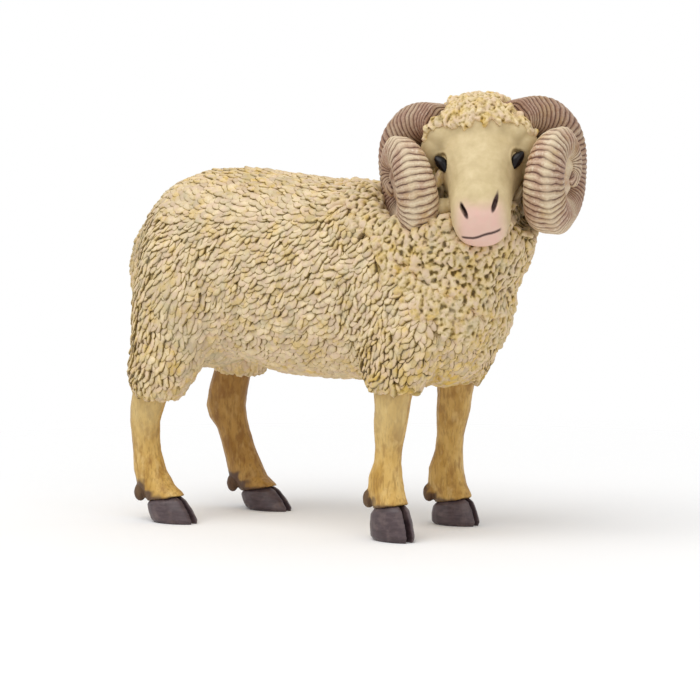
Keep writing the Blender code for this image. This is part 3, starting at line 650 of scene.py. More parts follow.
def wool_colour(paint):
    """Cream on the lock tops, olive brown round their rims and in the creases, painted shade over the brown
    wash there, with ochre, rose and grey washes.
    """
    grain = paint.cloud(0.45 * MM, 4, seed=1)
    # rim times wash: painted shade round the lock rims and in the creases, over the brown wash
    low = paint.math("MULTIPLY", paint.value("rim"), paint.value("wash"))
    low = paint.math("ADD", low, paint.spread(grain, 0.25, 0.75, -0.20, 0.20), clamp=True)
    colour = paint.ramp(
        low,
        (0.00, srgb(238, 217, 180)), (0.22, srgb(224, 203, 160)), (0.44, srgb(196, 174, 122)),
        (0.68, srgb(136, 112, 62)), (1.00, srgb(86, 68, 34)),
    )
    ochre = paint.blots(2.6 * MM, 5, 2, 0.46, 0.62, 0.55)
    ochre = paint.math("ADD", ochre, paint.value("ochre"), clamp=True)
    colour = paint.mix(ochre, colour, srgb(236, 218, 144), "MULTIPLY")
    rosy = paint.blots(1.4 * MM, 5, 3, 0.48, 0.58, 0.75)
    rosy = paint.math("MULTIPLY", rosy, paint.math("SUBTRACT", 1.0, low, clamp=True))
    colour = paint.mix(rosy, colour, srgb(226, 199, 172))
    sage = paint.blots(2.8 * MM, 4, 4, 0.53, 0.66, 0.34)
    sage = paint.math("ADD", sage, paint.value("frost"), clamp=True)
    colour = paint.mix(sage, colour, srgb(188, 180, 150))
    return paint.lighten(colour, paint.spread(paint.value("tone"), 0, 1, 0.84, 1.06))


def fleece_material():
    paint = Paint("fleece_paint", 0.62, 0.25)
    fine = paint.cloud(0.30 * MM, 4, seed=6)
    return paint.finish(
        wool_colour(paint),
        paint.spread(fine, 0.3, 0.7, 0.55, 0.75),
        paint.bump(fine, 0.10 * MM, 0.5),
    )


def face_material():
    """Cream face with a pink muzzle, dark nostrils and mouth, and painted tan shade round the horns, the
    eyes and the nose.
    """
    paint = Paint("face_paint", 0.5, 0.35)
    soft = paint.cloud(2.2 * MM, 4, seed=1)
    skin = paint.ramp(
        soft, (0.25, srgb(198, 177, 132)), (0.50, srgb(212, 191, 146)), (0.75, srgb(224, 204, 160)),
    )
    worn = paint.blots(0.7 * MM, 4, 2, 0.45, 0.75, 0.35)
    skin = paint.mix(worn, skin, srgb(200, 182, 130))
    # painted shade round the eyes, on the jaw and temples, beside the nose and under the wool cap
    skin = paint.mix(paint.value("shade"), skin, srgb(140, 116, 72))
    pink = paint.mix(paint.cloud(1.4 * MM, 3, seed=3), srgb(240, 188, 180), srgb(232, 200, 184))
    skin = paint.mix(paint.value("pink"), skin, pink)
    colour = paint.mix(paint.value("dark"), skin, srgb(62, 36, 30))
    fine = paint.cloud(0.4 * MM, 4, seed=6)
    return paint.finish(
        colour,
        paint.spread(fine, 0.3, 0.7, 0.42, 0.58),
        paint.bump(fine, 0.06 * MM, 0.35),
    )


def horn_material():
    """Creamy rib tops with painted highlights, brown grooves, mauve and grey washes toward the root and on
    the disc, and a painted highlight along the keel.
    """
    paint = Paint("horn_paint", 0.52, 0.3)
    grain = paint.cloud(0.35 * MM, 4, seed=1)
    crest = paint.math("ADD", paint.value("crest"), paint.spread(grain, 0.2, 0.8, -0.16, 0.16))
    colour = paint.ramp(
        paint.spread(crest, 0.30, 1.10),
        (0.00, srgb(112, 84, 72)), (0.30, srgb(146, 118, 96)), (0.55, srgb(184, 158, 130)),
        (0.80, srgb(206, 182, 152)), (1.00, srgb(230, 211, 180)),
    )
    mauve = paint.blots(4.0 * MM, 4, 2, 0.42, 0.60, 0.62)
    colour = paint.mix(mauve, colour, srgb(212, 180, 182), "MULTIPLY")
    straw = paint.blots(3.6 * MM, 3, 3, 0.52, 0.68, 0.5)
    colour = paint.mix(straw, colour, srgb(238, 216, 158), "MULTIPLY")
    # painted highlights glinting on the rib crests
    glint = paint.blots(0.55 * MM, 4, 7, 0.54, 0.64, 0.55)
    glint = paint.math("MULTIPLY", glint, paint.spread(crest, 0.7, 1.1), clamp=True)
    colour = paint.mix(glint, colour, srgb(238, 226, 204))
    colour = paint.mix(paint.value("grey"), colour, srgb(196, 180, 176), "MULTIPLY")
    # painted highlight along the keel, and a paler middle on the left horn's disc
    colour = paint.mix(paint.value("pale"), colour, srgb(228, 210, 176))
    return paint.finish(colour, paint.spread(grain, 0.3, 0.7, 0.45, 0.62), paint.bump(grain, 0.06 * MM, 0.5))


def leg_material():
    """Ochre legs with a brown wash, fine hair strokes and dark dewclaws; painted light on their lit side,
    painted shade on the far legs and under the wool hem.
    """
    paint = Paint("leg_paint", 0.5, 0.3)
    wash = paint.cloud(3.4 * MM, 5, stretch=(1, 1, 0.45), seed=1)
    colour = paint.ramp(
        wash,
        (0.24, srgb(148, 104, 42)), (0.42, srgb(190, 148, 70)),
        (0.58, srgb(211, 173, 99)), (0.80, srgb(222, 192, 128)),
    )
    strokes = paint.cloud(0.42 * MM, 4, stretch=(1, 1, 0.2), seed=2)
    colour = paint.mix(paint.spread(strokes, 0.50, 0.62, 0, 0.50), colour, srgb(146, 108, 52))
    blot = paint.blots(1.9 * MM, 5, 4, 0.50, 0.64, 0.62, stretch=(1, 1, 0.6))
    colour = paint.mix(blot, colour, srgb(148, 104, 46))
    light = paint.blots(1.3 * MM, 4, 9, 0.55, 0.68, 0.5, stretch=(1, 1, 0.5))
    colour = paint.mix(light, colour, srgb(224, 192, 128))
    # painted light: paler on the lit side of the upper legs
    colour = paint.mix(paint.value("pale"), colour, srgb(208, 186, 132))
    # painted shade on the far rear leg and under the wool hem, with a browner tint on the far front leg
    colour = paint.mix(paint.value("brown"), colour, srgb(200, 178, 146), "MULTIPLY")
    colour = paint.mix(paint.value("dark"), colour, srgb(66, 46, 44))
    height = paint.math("ADD", strokes, paint.spread(wash, 0, 1, 0, 0.5))
    rough = paint.spread(strokes, 0.3, 0.7, 0.42, 0.6)
    return paint.finish(colour, rough, paint.bump(height, 0.10 * MM, 0.5))


def hoof_material():
    """Dark purple brown horn with growth lines and dusty patches."""
    paint = Paint("hoof_paint", 0.4, 0.45)
    lines = paint.cloud(0.6 * MM, 4, stretch=(0.3, 0.3, 1.2), seed=1)
    colour = paint.ramp(lines, (0.3, srgb(62, 48, 49)), (0.5, srgb(73, 58, 61)), (0.7, srgb(86, 71, 73)))
    dust = paint.blots(1.8 * MM, 4, 2, 0.50, 0.72, 0.45)
    colour = paint.mix(dust, colour, srgb(122, 104, 100))
    return paint.finish(colour, paint.spread(lines, 0.3, 0.7, 0.32, 0.5), paint.bump(lines, 0.06 * MM, 0.35))


def eye_material():
    """Glossy black brown, a little warmer in soft clouds."""
    paint = Paint("eye_paint", 0.2, 0.22)
    murk = paint.cloud(0.8 * MM, 2, seed=1)
    colour = paint.ramp(murk, (0.35, srgb(8, 6, 7)), (0.7, srgb(24, 16, 15)))
    return paint.finish(colour, paint.spread(murk, 0.3, 0.7, 0.14, 0.26))


# Fleece

def lock_shapes(name, columns, levels, bends):
    """A collection of domed locks one unit long, wide and high; levels give radius, height and rim, the
    share of painted shade at that height.
    """
    group = bpy.data.collections.new(name)
    for k, bend in enumerate(bends):
        points, rims = [], []
        for radius, height, rim in levels:
            for column in range(columns):
                turn = math.tau * column / columns
                x, y = radius * math.cos(turn) / 2, radius * math.sin(turn) / 2
                y = y * (1 - 0.30 * (x - 0.1)) + bend * (x * x - 0.08)
                points.append((x, y, height + 0.10 * x))
                rims.append(rim)
        faces = tube_faces(0, len(levels) - 1, columns)
        last = (len(levels) - 1) * columns
        points.append((0, 0, levels[-1][1] + 0.10))
        rims.append(0)
        for column in range(columns):
            faces.append((last + column, last + (column + 1) % columns, len(points) - 1))
        faces.append(tuple(reversed(range(columns))))
        shape = mesh_object(name + str(k), points, faces)
        keep_values(shape, "rim", rims)
        bpy.context.collection.objects.unlink(shape)
        group.objects.link(shape)
    return group


def coat_values(skin, shy):
    """Lay the wool's direction on a skin, with its washes, its painted crease shade and the bare places near
    the horns.
    """
    co, no = points_of(skin), normals_of(skin)
    place = (co - np.array(shift)) / MM
    x, y, z = place[:, 0], place[:, 1], place[:, 2]
    top = ease(50, 59, z)
    thigh = ease(-13, -20, x + 0.25 * (z - 40)) * ease(50, 42, z)
    rump = ease(-24, -31, x)
    front = ease(7, 15, x + 0.35 * (z - 45))
    flow = np.outer((1 - top) * (1 - thigh), (-0.60, 0, -0.80))
    flow += np.outer(top * 1.3, (-1.0, 0, 0.10))
    flow += np.outer(thigh * 1.4, (-0.10, 0, -1.0))
    flow = flow * (1 - rump * 0.75)[:, None] + np.outer(rump, (-0.10, 0, -1.0))
    flow = flow * (1 - front)[:, None] + np.outer(front, (-0.16, 0, -1.0))
    flow = within(no, flow)
    swirl = wander(co, 6 * MM, 1) * (0.45 + 0.5 * front)
    flow = flow * np.cos(swirl)[:, None] + np.cross(no, flow) * np.sin(swirl)[:, None]
    fold = hump(x + 0.55 * (z - 34), -18.5, 2.2) * ease(45, 40, z) * ease(24, 28, z)
    keep_values(skin, "flow", flow, "FLOAT_VECTOR")
    keep_values(skin, "side", np.where(y < 0, 1.0, -1.0) * (1 - 0.6 * top))
    keep_values(skin, "stretch", 1 + 0.7 * fold + 0.15 * wander(co, 3 * MM, 6))
    ridge = hump(x, -12, 15) * ease(57, 61, z) * 0.55
    hip = hump(x, -26, 6) * hump(z, 40, 7) * 0.4
    hem = ease(33, 28, z) * 0.35
    blots = 0.5 + 0.8 * wander(co, 2.5 * MM, 7)
    keep_values(skin, "ochre", np.clip((ridge + hip + hem) * blots + 0.32 * front * ease(36, 31, z), 0, 1))
    keep_values(skin, "frost", np.clip(0.28 * fold + 0.35 * ease(-29, -34, x) * (blots + 0.3), 0, 1))
    # the skin between the locks is painted part way dark, as the shade down there
    keep_values(skin, "rim", np.full(len(co), 0.55))
    keep_values(skin, "tone", np.full(len(co), 0.5))
    # wash sets how strong the painted crease shade is: stronger on the breast, weaker on the down-facing hem
    breast = front * ease(36, 31, z)
    below = ease(-0.2, -0.6, no[:, 2]) * ease(29.5, 28.2, z)
    keep_values(skin, "wash", (1.0 + 0.25 * breast + 0.2 * wander(co, 4 * MM, 12)) * (1 - 0.6 * below))
    bare = np.ones(len(co))
    for tree, room in shy:
        bare *= ease(0.0, room, distance_to(tree, co, room))
    return co, x, y, z, front, bare


def half_of(skin, side):
    """The skin on one side of the neck seam, closed, reaching a little past the seam."""
    part = copy_of(skin)
    shell = bmesh.new()
    shell.from_mesh(part.data)
    cut_off(shell, seam_point - seam_normal * side * seam_overlap, seam_normal * side)
    bmesh.ops.triangulate(shell, faces=[face for face in shell.faces if len(face.verts) > 4])
    shell.to_mesh(part.data)
    shell.free()
    return part


def scatter(name, skin, where, seed, kind, shapes, material):
    spacing, length, width, height, rough, lift, roll, stray = lock_sizes[kind]
    locks = copy_of(skin)
    spreader.run(
        locks, Where=where, Seed=seed, Locks=shapes, Spacing=spacing * MM, Length=length * MM,
        Width=width * MM, Height=height * MM, Rough=rough * MM, Lift=math.radians(lift),
        Roll=math.radians(roll), Stray=stray, Material=material,
    )
    locks.name = name
    return locks


def leg_top(corner, body):
    """The part of a leg that sits inside the wool, to fill its socket in the skin."""
    top = merged_copy(corner + "_top", corner + "_leg")
    co = points_of(top)
    axis = co[co[:, 2] > co[:, 2].max() - 2 * MM].mean(axis=0)
    near = body[np.hypot(body[:, 0] - axis[0], body[:, 1] - axis[1]) < 6.5 * MM]
    shell = bmesh.new()
    shell.from_mesh(top.data)
    cut_off(shell, (0, 0, near[:, 2].min() + socket_lip), (0, 0, 1))
    drop(top)
    return from_shell(corner + "_top", shell)


def carve(curls, voxel, rounds, light):
    """Fuse curls into one carved mass and note how deep its creases are."""
    remesh(curls, voxel, rounds)
    thin_out(curls, curl_triangles)
    co, no = points_of(curls), normals_of(curls)
    co = co + no * ((wander(co, 0.55 * MM, 31) * 0.07 + wander(co, 1.2 * MM, 32) * 0.12) * MM)[:, None]
    move_points(curls, co)
    softer = copy_of(curls)
    soften(softer, 8)
    bake(softer)
    crease = np.sum((points_of(softer) - co) * normals_of(curls), axis=1) / MM
    drop(softer)
    blots = wander(co, 1.8 * MM, 33)
    # painted shade in the creases: the deeper the crease, the darker
    keep_values(curls, "rim", ease(-0.05, 0.09, crease))
    keep_values(curls, "tone", light + 0.4 * blots)
    keep_values(curls, "wash", np.ones(len(co)))
    keep_values(curls, "ochre", 0.05 + 0.30 * ease(-0.1, 0.5, blots))
    keep_values(curls, "frost", np.zeros(len(co)))
    return curls


def fleece(shy, material):
    """Skin, locks, beads and curls of the body and the neck, meeting at a hidden seam."""
    body = merged_copy("skin", "torso", "neck")
    fillers = [leg_top(corner, points_of(body)) for corner in corners]
    skin = remesh(join("skin", body, *fillers), skin_voxel, 6, seam_closing)
    co, no = points_of(skin), normals_of(skin)
    breast = ease(0.35, 0.85, no @ np.array((0.866, 0.5, 0))) * ease(16 * MM, 22 * MM, co[:, 0] - shift.x)
    breast *= ease(28.5 * MM, 32 * MM, co[:, 2])
    move_points(skin, co - no * (skin_depth + breast_depth * breast)[:, None])
    for side, node in ((-1, "torso"), (1, "neck")):
        part = half_of(skin, side)
        co, x, y, z, front, bare = coat_values(part, shy)
        level = (co - np.array(seam_point)) @ np.array(seam_normal) * side
        bare *= ease(-seam_overlap * 0.9, -seam_overlap * 0.3, level)
        patchy = wander(co, 3 * MM, 2)
        curly = x + 0.95 * (z - 42) + 4 * patchy > 25
        hem = (z + 1.5 * patchy < 29) * (x < -16)
        beady = ((front + 0.25 * patchy > 0.5) | hem) & ~curly
        plain = ~(curly | beady)
        keep_values(part, "right_locks", bare * plain * (y < 0))
        keep_values(part, "left_locks", bare * plain * (y >= 0))
        keep_values(part, "beads", bare * beady)
        keep_values(part, "curls", bare * curly)
        if side < 0:
            for hand in ("right", "left"):
                name, where = hand + "_flank_locks", hand + "_locks"
                settle(scatter(name, part, where, 3, "flank", locks_fine, material), "fleece")
        settle(scatter(node + "_beads", part, "beads", 4, "beads", locks_fine, material), "fleece")
        curls = scatter(node + "_curls", part, "curls", 8, "curls", locks_round, material)
        carve(curls, curl_voxel, 0, 0.5)
        dress(curls, material)
        settle(curls, "fleece")
        thin_out(part, skin_triangles)
        part.name = node + "_skin"
        dress(part, material)
        settle(part, "fleece", node)
    drop(skin)


def tail_fleece(material):
    skin = remesh(merged_copy("tail_skin", "tail"), tail_voxel, 6)
    co, no = points_of(skin), normals_of(skin)
    move_points(skin, co - no * 0.1 * MM)
    flow = np.tile((0.0, 0.0, -1.0), (len(co), 1))
    keep_values(skin, "flow", within(no, flow), "FLOAT_VECTOR")
    # rim and wash set the painted crease shade on the tail's skin between its locks
    values = {
        "side": 0.5, "stretch": 1.1, "ochre": 0.2, "frost": 0.15, "rim": 0.75, "tone": 0.5, "wash": 0.9,
    }
    for name, value in values.items():
        keep_values(skin, name, np.full(len(co), value))
    keep_values(skin, "cover", ease(0.6, 0.0, no[:, 0]))
    settle(scatter("tail_locks", skin, "cover", 5, "tail", locks_round, material), "fleece")
    dress(skin, material)
    return settle(skin, "fleece", "tail")


# Head

def head(shy, fleece_paint, material):
    """Smooth face with lids, nostrils and mouth, under a cap of curls."""
    fillers = []
    for name in ("left_eye", "right_eye"):
        filler = merged_copy(name + "_filler", name)
        co = points_of(filler)
        centre = co.mean(axis=0)
        move_points(filler, centre + (co - centre) * 0.70)
        fillers.append(filler)
    cheeks = [
        egg("cheek", head_frame, (x, y * side, z), sizes)
        for side in (-1, 1)
        for x, y, z, sizes in ((-3.2, 7.9, 0.2, (2.7, 2.2, 3.2)), (-2.4, 7.2, -3.2, (2.0, 1.6, 2.2)))
    ]
    cheeks.append(egg("jaw", head_frame, (5.0, -6.5, -5.2), (1.7, 1.6, 1.7)))
    skin = join("head_face", merged_copy("head_copy", "head"), *fillers, *cheeks)
    skin = remesh(skin, face_voxel, 6, face_closing)
    co, no = points_of(skin), normals_of(skin)
    lid = np.full(len(co), 1.5 * MM)
    for name in ("left_eye", "right_eye"):
        lid = np.minimum(lid, np.abs(distance_to(tree_of(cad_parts[name]), co, 1.5 * MM)))
    rim = hump(lid, 0.42 * MM, 0.20 * MM)
    here = in_frame(head_frame, co) / MM
    x, y, z = here[:, 0], here[:, 1], here[:, 2]
    brow = rim * ease(-0.6, 0.6, z - 0.6)
    move_points(skin, co + no * ((rim * 0.05 + brow * 0.10) * MM)[:, None])
    edge = 0.9 * wander(co, 1.7 * MM, 4)
    cap = ease(-3.8, -4.8, x - 0.42 * (z - 4.4) + edge) * ease(1.6, 3.0, z + 0.10 * np.abs(y) + edge)
    temple = ease(7.6, 8.4, np.abs(y) + 0.3 * edge) * ease(1.8, 3.0, z) * ease(-2.6, -3.8, x)
    coat = np.maximum(np.maximum(cap, temple), ease(-7, -8.5, x))
    for tree, room in shy:
        coat = coat * ease(0.0, room, distance_to(tree, co, room))
    ahead = head_frame.to_3x3() @ Vector((0.9, 0, -0.35))
    down = Vector((0, 0, -1))
    flow = np.tile(tuple(ahead), (len(co), 1)) + np.outer(ease(3, 7, np.abs(y)), tuple(down * 1.5))
    keep_values(skin, "flow", within(no, flow), "FLOAT_VECTOR")
    keep_values(skin, "side", np.where(y < 0, 1.0, -1.0))
    fringe = hump(x - 0.42 * (z - 4.4), -5.2, 0.9)
    keep_values(skin, "stretch", 1 + 0.5 * fringe)
    keep_values(skin, "ochre", 0.35 * ease(-0.3, 0.5, wander(co, 2 * MM, 8)))
    keep_values(skin, "frost", np.zeros(len(co)))
    keep_values(skin, "wash", 0.55 + 0.25 * wander(co, 2.5 * MM, 12))
    keep_values(skin, "cover", ease(0.35, 0.65, coat))
    curls = scatter("poll_curls", skin, "cover", 9, "poll", locks_round, fleece_paint)
    carve(curls, poll_voxel, 1, 0.95)
    dress(curls, fleece_paint)
    settle(curls, "fleece")
    paint_face(skin, coat, lid)
    thin_out(skin, head_triangles)
    dress(skin, material)
    return settle(skin, "face", "head")


def paint_face(piece, coat, lid):
    co = points_of(piece)
    here = in_frame(head_frame, co) / MM
    x, y, z = here[:, 0], here[:, 1], here[:, 2]
    dark = np.zeros(len(co))
    for side in (-1, 1):
        centre_y = nostril_centre.y * side
        lean = math.radians(28) * -side
        dy, dz = y - centre_y, z - nostril_centre.z - centre_y * nostril_slope
        u = dy * math.cos(lean) + dz * math.sin(lean)
        v = -dy * math.sin(lean) + dz * math.cos(lean)
        inside = (u / 0.43) ** 2 + (v / 1.02) ** 2
        dark = np.maximum(dark, ease(1.5, 0.7, inside) * (x > 9))
    line = -mouth_drop + y * mouth_slope + 0.10 * np.sin(y * 1.6)
    lips = ease(0.36, 0.14, np.abs(z - line)) * ease(mouth_half_width + 0.5, mouth_half_width, np.abs(y))
    dark = np.maximum(dark, lips * (x > 8) * 0.95)
    keep_values(piece, "dark", dark * (1 - coat))
    pink = ease(7.6, 13.0, x - 0.55 * z) * ease(5.2, 1.5, np.abs(y) - 0.25 * (x - 11))
    pink = np.clip(pink * ease(1.6, -0.8, z - 0.35 * wander(co, 1.2 * MM, 6)), 0, 1)
    keep_values(piece, "pink", pink * 0.85)
    # Painted shade: round the eyes, on the jaw and temples, in hollows beside the nose and under the wool
    # cap
    lids = ease(0.75 * MM, 0.1 * MM, lid)
    jaw = ease(5.2, 7.0, np.abs(y)) * ease(1.0, -3, z)
    temple = ease(4.6, 7.0, np.abs(y)) * ease(-2.5, 0.5, z) * ease(5.5, 2.5, z)
    hollow = hump(x, 5.0, 2.2) * hump(np.abs(y), 3.6, 1.2) * ease(4.0, 0.5, z)
    shade = 0.55 * lids + 0.2 * jaw + 0.15 * coat + 0.34 * temple + 0.16 * hollow
    keep_values(piece, "shade", np.clip(shade, 0, 1))


# Horns

def horn_point(share):
    turn = horn_start + horn_sweep * max(share, 0)
    radius = horn_coil_radius * along(horn_radius_shares, share)
    outward = horn_outreach * along(horn_outreach_shares, share)
    inward = horn_root_way * max(-share, 0)
    back = -horn_setback - radius * math.sin(turn)
    high = -horn_drop + radius * math.cos(turn)
    return Vector((back, outward, high)) + inward


def add_disc(points, values, faces, place, side):
    """Lens that fills the middle of the coil, with lines running out from its centre."""
    rows, columns = 30, disc_lines * 6
    first = len(points)
    for row in range(2 * rows + 1):
        share = 1 - abs(row - rows) / rows
        outer = row > rows
        for column in range(columns):
            turn = math.tau * column / columns
            radius = disc_radius * share
            bulge = 1 - share**2
            outward = horn_outreach * (0.86 + 0.26 * bulge if outer else 0.80 - 0.25 * bulge)
            line = abs(math.sin(turn * disc_lines / 2 + 0.8 * math.sin(7 * share + turn)))
            outward += (0.16 * MM * line * min(1, 3 * share) if outer else 0) * (share < 0.99)
            centre = Vector((-horn_setback + 0.3 * MM, 0, -horn_drop - 0.4 * MM))
            spot = centre + Vector((-radius * math.sin(turn), outward, radius * math.cos(turn)))
            points.append(place @ spot)
            pale = 0.35 * (share < 0.35) * (side > 0)
            values.append((horn_rib_pitch * 0.5, 0, disc_grey[side], pale))
    faces += tube_faces(first, 2 * rows, columns)


def horn(side, name, node, material):
    """Keeled tube wound into a coil, closed at both ends, then ribbed."""
    flare = Matrix.Rotation(side * -horn_flare, 4, "Z")
    place = upright_frame @ flare @ Matrix.Diagonal(Vector((1, side, 1, 1)))
    points, values = [], []
    travelled = 0.0
    before = None
    for row in range(horn_rows + 1):
        share = (1 + horn_root_reach) * row / horn_rows - horn_root_reach
        centre = horn_point(share)
        travelled += (centre - before).length if before else 0
        before = centre
        share = max(share, 0)
        tangent = (horn_point(min(share + 0.002, 1)) - horn_point(max(share - 0.002, 0))).normalized()
        turn = horn_start + horn_sweep * share
        aside = Vector((0, 1, 0))
        aside = (aside - tangent * aside.dot(tangent)).normalized()
        radial = Vector((-math.sin(turn), 0, math.cos(turn)))
        radial = (radial - tangent * radial.dot(tangent) - aside * radial.dot(aside)).normalized()
        thick = horn_thickness / 2 * along(horn_thickness_shares, share)
        wide = horn_width / 2 * along(horn_width_shares, share)
        early = float(ease(0.36, 0.24, share))
        late = float(ease(0.62, 0.74, share))
        for column in range(horn_columns):
            angle = math.tau * column / horn_columns
            c, s = math.cos(angle), math.sin(angle)
            reach = (abs(c) ** horn_side_power + abs(s) ** horn_side_power) ** (-1 / horn_side_power)
            keel = 1 + horn_keel_share * math.exp(-(((angle - horn_keel_place) / horn_keel_spread) ** 2))
            spot = centre + radial * c * reach * thick * keel + aside * s * reach * wide * keel
            points.append(place @ spot)
            slim = min(1, along(horn_thickness_shares, share) * 1.4)
            grey = max(0.75 * early, disc_grey[side] * late, 0.5 * max(0, s) ** 3)
            # painted highlight along the keel
            pale = 0.36 * (keel - 1) / horn_keel_share * (1 - early) * (1 - late)
            values.append((travelled, slim, grey, pale))
    faces = tube_faces(0, horn_rows, horn_columns)
    for row, flip in ((0, True), (horn_rows, False)):
        ring = [row * horn_columns + column for column in range(horn_columns)]
        points.append(sum((points[k] for k in ring), Vector()) / len(ring))
        values.append((values[ring[0]][0], 0, 0.8, 0))
        for k in range(horn_columns):
            trio = (ring[k], ring[(k + 1) % horn_columns], len(points) - 1)
            faces.append(trio[::-1] if flip else trio)
    add_disc(points, values, faces, place, side)
    shell = bmesh.new()
    rough = mesh_object(name + "_rough", points, faces)
    shell.from_mesh(rough.data)
    bmesh.ops.recalc_face_normals(shell, faces=shell.faces)
    drop(rough)
    piece = from_shell(name, shell)
    for key, column in zip(("along", "slim", "grey", "pale"), zip(*values)):
        keep_values(piece, key, column)
    ribber.run(piece, Pitch=horn_rib_pitch, Depth=horn_rib_depth, Material=material)
    return settle(piece, "horn", node)


# Legs, hooves and small pieces

def leg(name, node, hoof_node, brown, pale, material):
    """Shank with soft tendons, reaching down over the joint line, and dark dewclaws."""
    piece = remesh(merged_copy(name, node), leg_voxel, 4)
    co, no = points_of(piece), normals_of(piece)
    low, high = (np.array(corner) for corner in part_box(hoof_node))
    coronet = high[2]
    dent = wander(co * (1, 1, 0.4), 1.5 * MM, 3) * 0.09 * MM + wander(co, 0.7 * MM, 5) * 0.03 * MM
    foot_top = ease(coronet + 0.9 * MM, coronet - 0.1 * MM, co[:, 2])
    moved = co + no * dent[:, None]
    beyond = ease(0.35, 0.0, np.abs(no[:, 2])) * foot_top
    moved[:, 2] -= 0.34 * MM * foot_top * (co[:, 2] > coronet - 1.6 * MM)
    moved[:, :2] += no[:, :2] * (beyond * 0.12 * MM)[:, None]
    move_points(piece, moved)
    middle = (low[0] + high[0]) / 2
    ragged = 0.5 * MM * wander(co, 0.9 * MM, 10)
    heel = ease(middle - 4.3 * MM, middle - 5.2 * MM, co[:, 0] + ragged)
    claw = heel * ease(coronet + 3.0 * MM, coronet + 2.0 * MM, co[:, 2] + ragged)
    pad = ease(middle - 2.0 * MM, middle - 3.6 * MM, co[:, 0] + ragged)
    pad *= ease(coronet + 1.3 * MM, coronet + 0.6 * MM, co[:, 2] + ragged)
    claw = np.maximum(claw, pad)
    band = ease(coronet + 0.45 * MM, coronet + 0.05 * MM, co[:, 2] + 0.25 * MM * wander(co, 1.0 * MM, 9))
    # Painted light: paler where the leg faces the light, more so higher up the leg
    lit = ease(0.1, 0.7, no[:, 0] * 0.4 - no[:, 1])
    keep_values(piece, "dark", np.clip(np.maximum(claw * 0.85, band * 0.8), 0, 1))
    keep_values(piece, "pale", pale * ease(coronet + 6 * MM, coronet + 16 * MM, co[:, 2]) * lit)
    # Painted shade: browner on the far rear leg and in a band under the wool hem; the far front leg gets a
    # browner tint
    keep_values(piece, "brown", brown + 0.15 * ease(coronet + 14 * MM, coronet + 20 * MM, co[:, 2]))
    thin_out(piece, leg_triangles)
    piece.name = name
    dress(piece, material)
    return settle(piece, "leg", node)


def hoof(name, node, material):
    piece = remesh(merged_copy(name, node), hoof_voxel, 9)
    co, no = points_of(piece), normals_of(piece)
    move_points(piece, co + no * (wander(co, 1.4 * MM, 4) * 0.05 * MM * (co[:, 2] > 0.2 * MM))[:, None])
    thin_out(piece, hoof_triangles)
    piece.name = name
    dress(piece, material)
    return settle(piece, "hoof", node)


def eye(name, node, side, material):
    """Almond eye, pointed at both corners and standing a little proud of its lids."""
    piece = smooth_copy(name, node)
    lean = Matrix.Rotation(-side * eye_outlook, 4, "Z") @ Matrix.Rotation(eye_slant, 4, "Y")
    axes = np.array((face_axes @ lean).to_3x3())
    centre = points_of(piece).mean(axis=0)
    local = (points_of(piece) - centre) @ axes
    far = np.abs(local[:, 0]).max()
    local[:, 2] *= 1.05 * (1 - 0.35 * (local[:, 0] / far) ** 2)
    local[:, 0] *= 1.12
    local[:, 1] = local[:, 1] * 0.95 + side * 0.45 * MM
    move_points(piece, centre + local @ axes.T)
    dress(piece, material)
    return settle(piece, "eye", node)


def small_piece(name, node, slot, material):
    piece = smooth_copy(name, node)
    dress(piece, material)
    return settle(piece, slot, node)


# Studio

def studio():
    scene = bpy.context.scene
    scene.view_settings.view_transform = "Standard"
    world = bpy.data.worlds.new("studio")
    scene.world = world
    world.use_nodes = True
    nodes, links = world.node_tree.nodes, world.node_tree.links
    light = nodes["Background"]
    light.inputs[0].default_value = (1, 1, 1, 1)
    light.inputs[1].default_value = 0.72
    seen = nodes.new("ShaderNodeBackground")
    seen.inputs[0].default_value = (1, 1, 1, 1)
    seen.inputs[1].default_value = 1.0
    path = nodes.new("ShaderNodeLightPath")
    blend = nodes.new("ShaderNodeMixShader")
    sight = nodes.new("ShaderNodeMath")
    sight.operation = "MAXIMUM"
    links.new(path.outputs["Is Camera Ray"], sight.inputs[0])
    links.new(path.outputs["Is Glossy Ray"], sight.inputs[1])
    links.new(sight.outputs[0], blend.inputs[0])
    links.new(light.outputs[0], blend.inputs[1])
    links.new(seen.outputs[0], blend.inputs[2])
    links.new(blend.outputs[0], nodes["World Output"].inputs[0])
    lamp("key", (-0.15, -0.60, 1.15), 0.95, 7.0)
    lamp("fill", (0.9, -0.6, 0.6), 0.80, 1.2)
    floor = mesh_object("floor", [(-1, -1, 0), (1, -1, 0), (1, 1, 0), (-1, 1, 0)], [(0, 1, 2, 3)])
    dress(floor, floor_material())


def lamp(name, place, size, watts):
    data = bpy.data.lights.new(name, "AREA")
    data.size = size
    data.energy = watts
    thing = bpy.data.objects.new(name, data)
    bpy.context.collection.objects.link(thing)
    thing.location = place
    thing.rotation_euler = (-Vector(place) + Vector((0, 0, 0.03))).to_track_quat("-Z", "Y").to_euler()


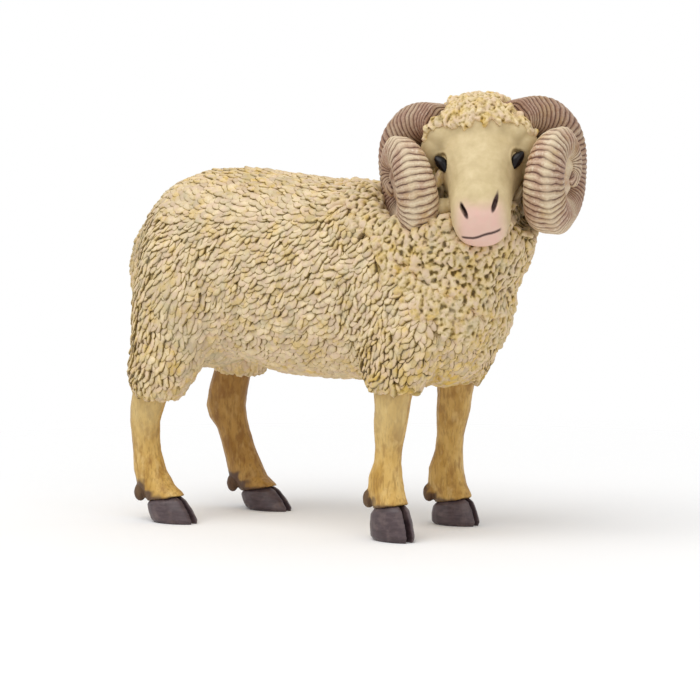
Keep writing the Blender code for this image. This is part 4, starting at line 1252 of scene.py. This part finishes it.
def floor_material():
    """White sweep that takes the shadow under the hooves and fades out into the background."""
    paint = Paint("floor_white", 0.9, 0.0)
    paint.shader.inputs["Base Color"].default_value = (0.97, 0.97, 0.97, 1)
    far = paint.nodes.new("ShaderNodeVectorMath")
    far.operation = "LENGTH"
    paint.links.new(paint.place, far.inputs[0])
    paint.links.new(paint.spread(far.outputs["Value"], 0.07, 0.20, 1, 0), paint.shader.inputs["Alpha"])
    return paint.material


def camera():
    data = bpy.data.cameras.new("camera")
    eye = bpy.data.objects.new("camera", data)
    bpy.context.collection.objects.link(eye)
    azimuth, height, distance = math.radians(30), math.radians(4.6), 0.5
    goal = Vector((7.25, 0, 31)) * MM + Vector((shift.x, shift.y, 0))
    outward = Vector((
        math.sin(azimuth) * math.cos(height), -math.cos(azimuth) * math.cos(height), math.sin(height)
    ))
    eye.location = goal + outward * distance
    eye.rotation_euler = (-outward).to_track_quat("-Z", "Y").to_euler()
    data.sensor_width = 36
    data.lens = 147.3
    data.clip_start = 0.01
    data.clip_end = 20
    bpy.context.scene.camera = eye


# Build

# Levels are radius, height and rim; rim, the share of painted shade, falls from each lock's foot to its top
locks_fine = lock_shapes(
    "fine_locks", 10, ((1.0, -0.55, 1.0), (0.99, 0.22, 0.70), (0.80, 0.52, 0.06)), (0.0, 0.45, -0.45)
)
locks_round = lock_shapes(
    "round_locks", 9, ((1.0, -0.6, 1.0), (0.98, 0.05, 0.72), (0.74, 0.66, 0.10)), (0.0, 0.4, -0.4)
)
spreader, ribber = lock_tree(), rib_tree()
studio()
camera()
horn_paint = horn_material()
horn(-1, "right_horn_ribbed", "right_horn", horn_paint)
horn(1, "left_horn_ribbed", "left_horn", horn_paint)
horn_trees = [tree_of(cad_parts[node]) for node in ("right_horn", "left_horn")]
fleece_paint = fleece_material()
fleece([(tree, horn_room) for tree in horn_trees], fleece_paint)
tail_fleece(fleece_paint)
face_paint = face_material()
head([(tree, face_horn_room) for tree in horn_trees], fleece_paint, face_paint)
leg_paint, hoof_paint, eye_paint = leg_material(), hoof_material(), eye_material()
for corner in corners:
    brown = leg_shade_and_tint.get(corner, 0)
    pale = far_leg_painted_light if "left" in corner else near_leg_painted_light
    leg(corner + "_shank", corner + "_leg", corner + "_hoof", brown, pale, leg_paint)
    hoof(corner + "_claw", corner + "_hoof", hoof_paint)
for hand in ("left", "right"):
    eye(hand + "_eye_gloss", hand + "_eye", 1 if hand == "left" else -1, eye_paint)
    small_piece(hand + "_ear_leaf", hand + "_ear", "face", face_paint)
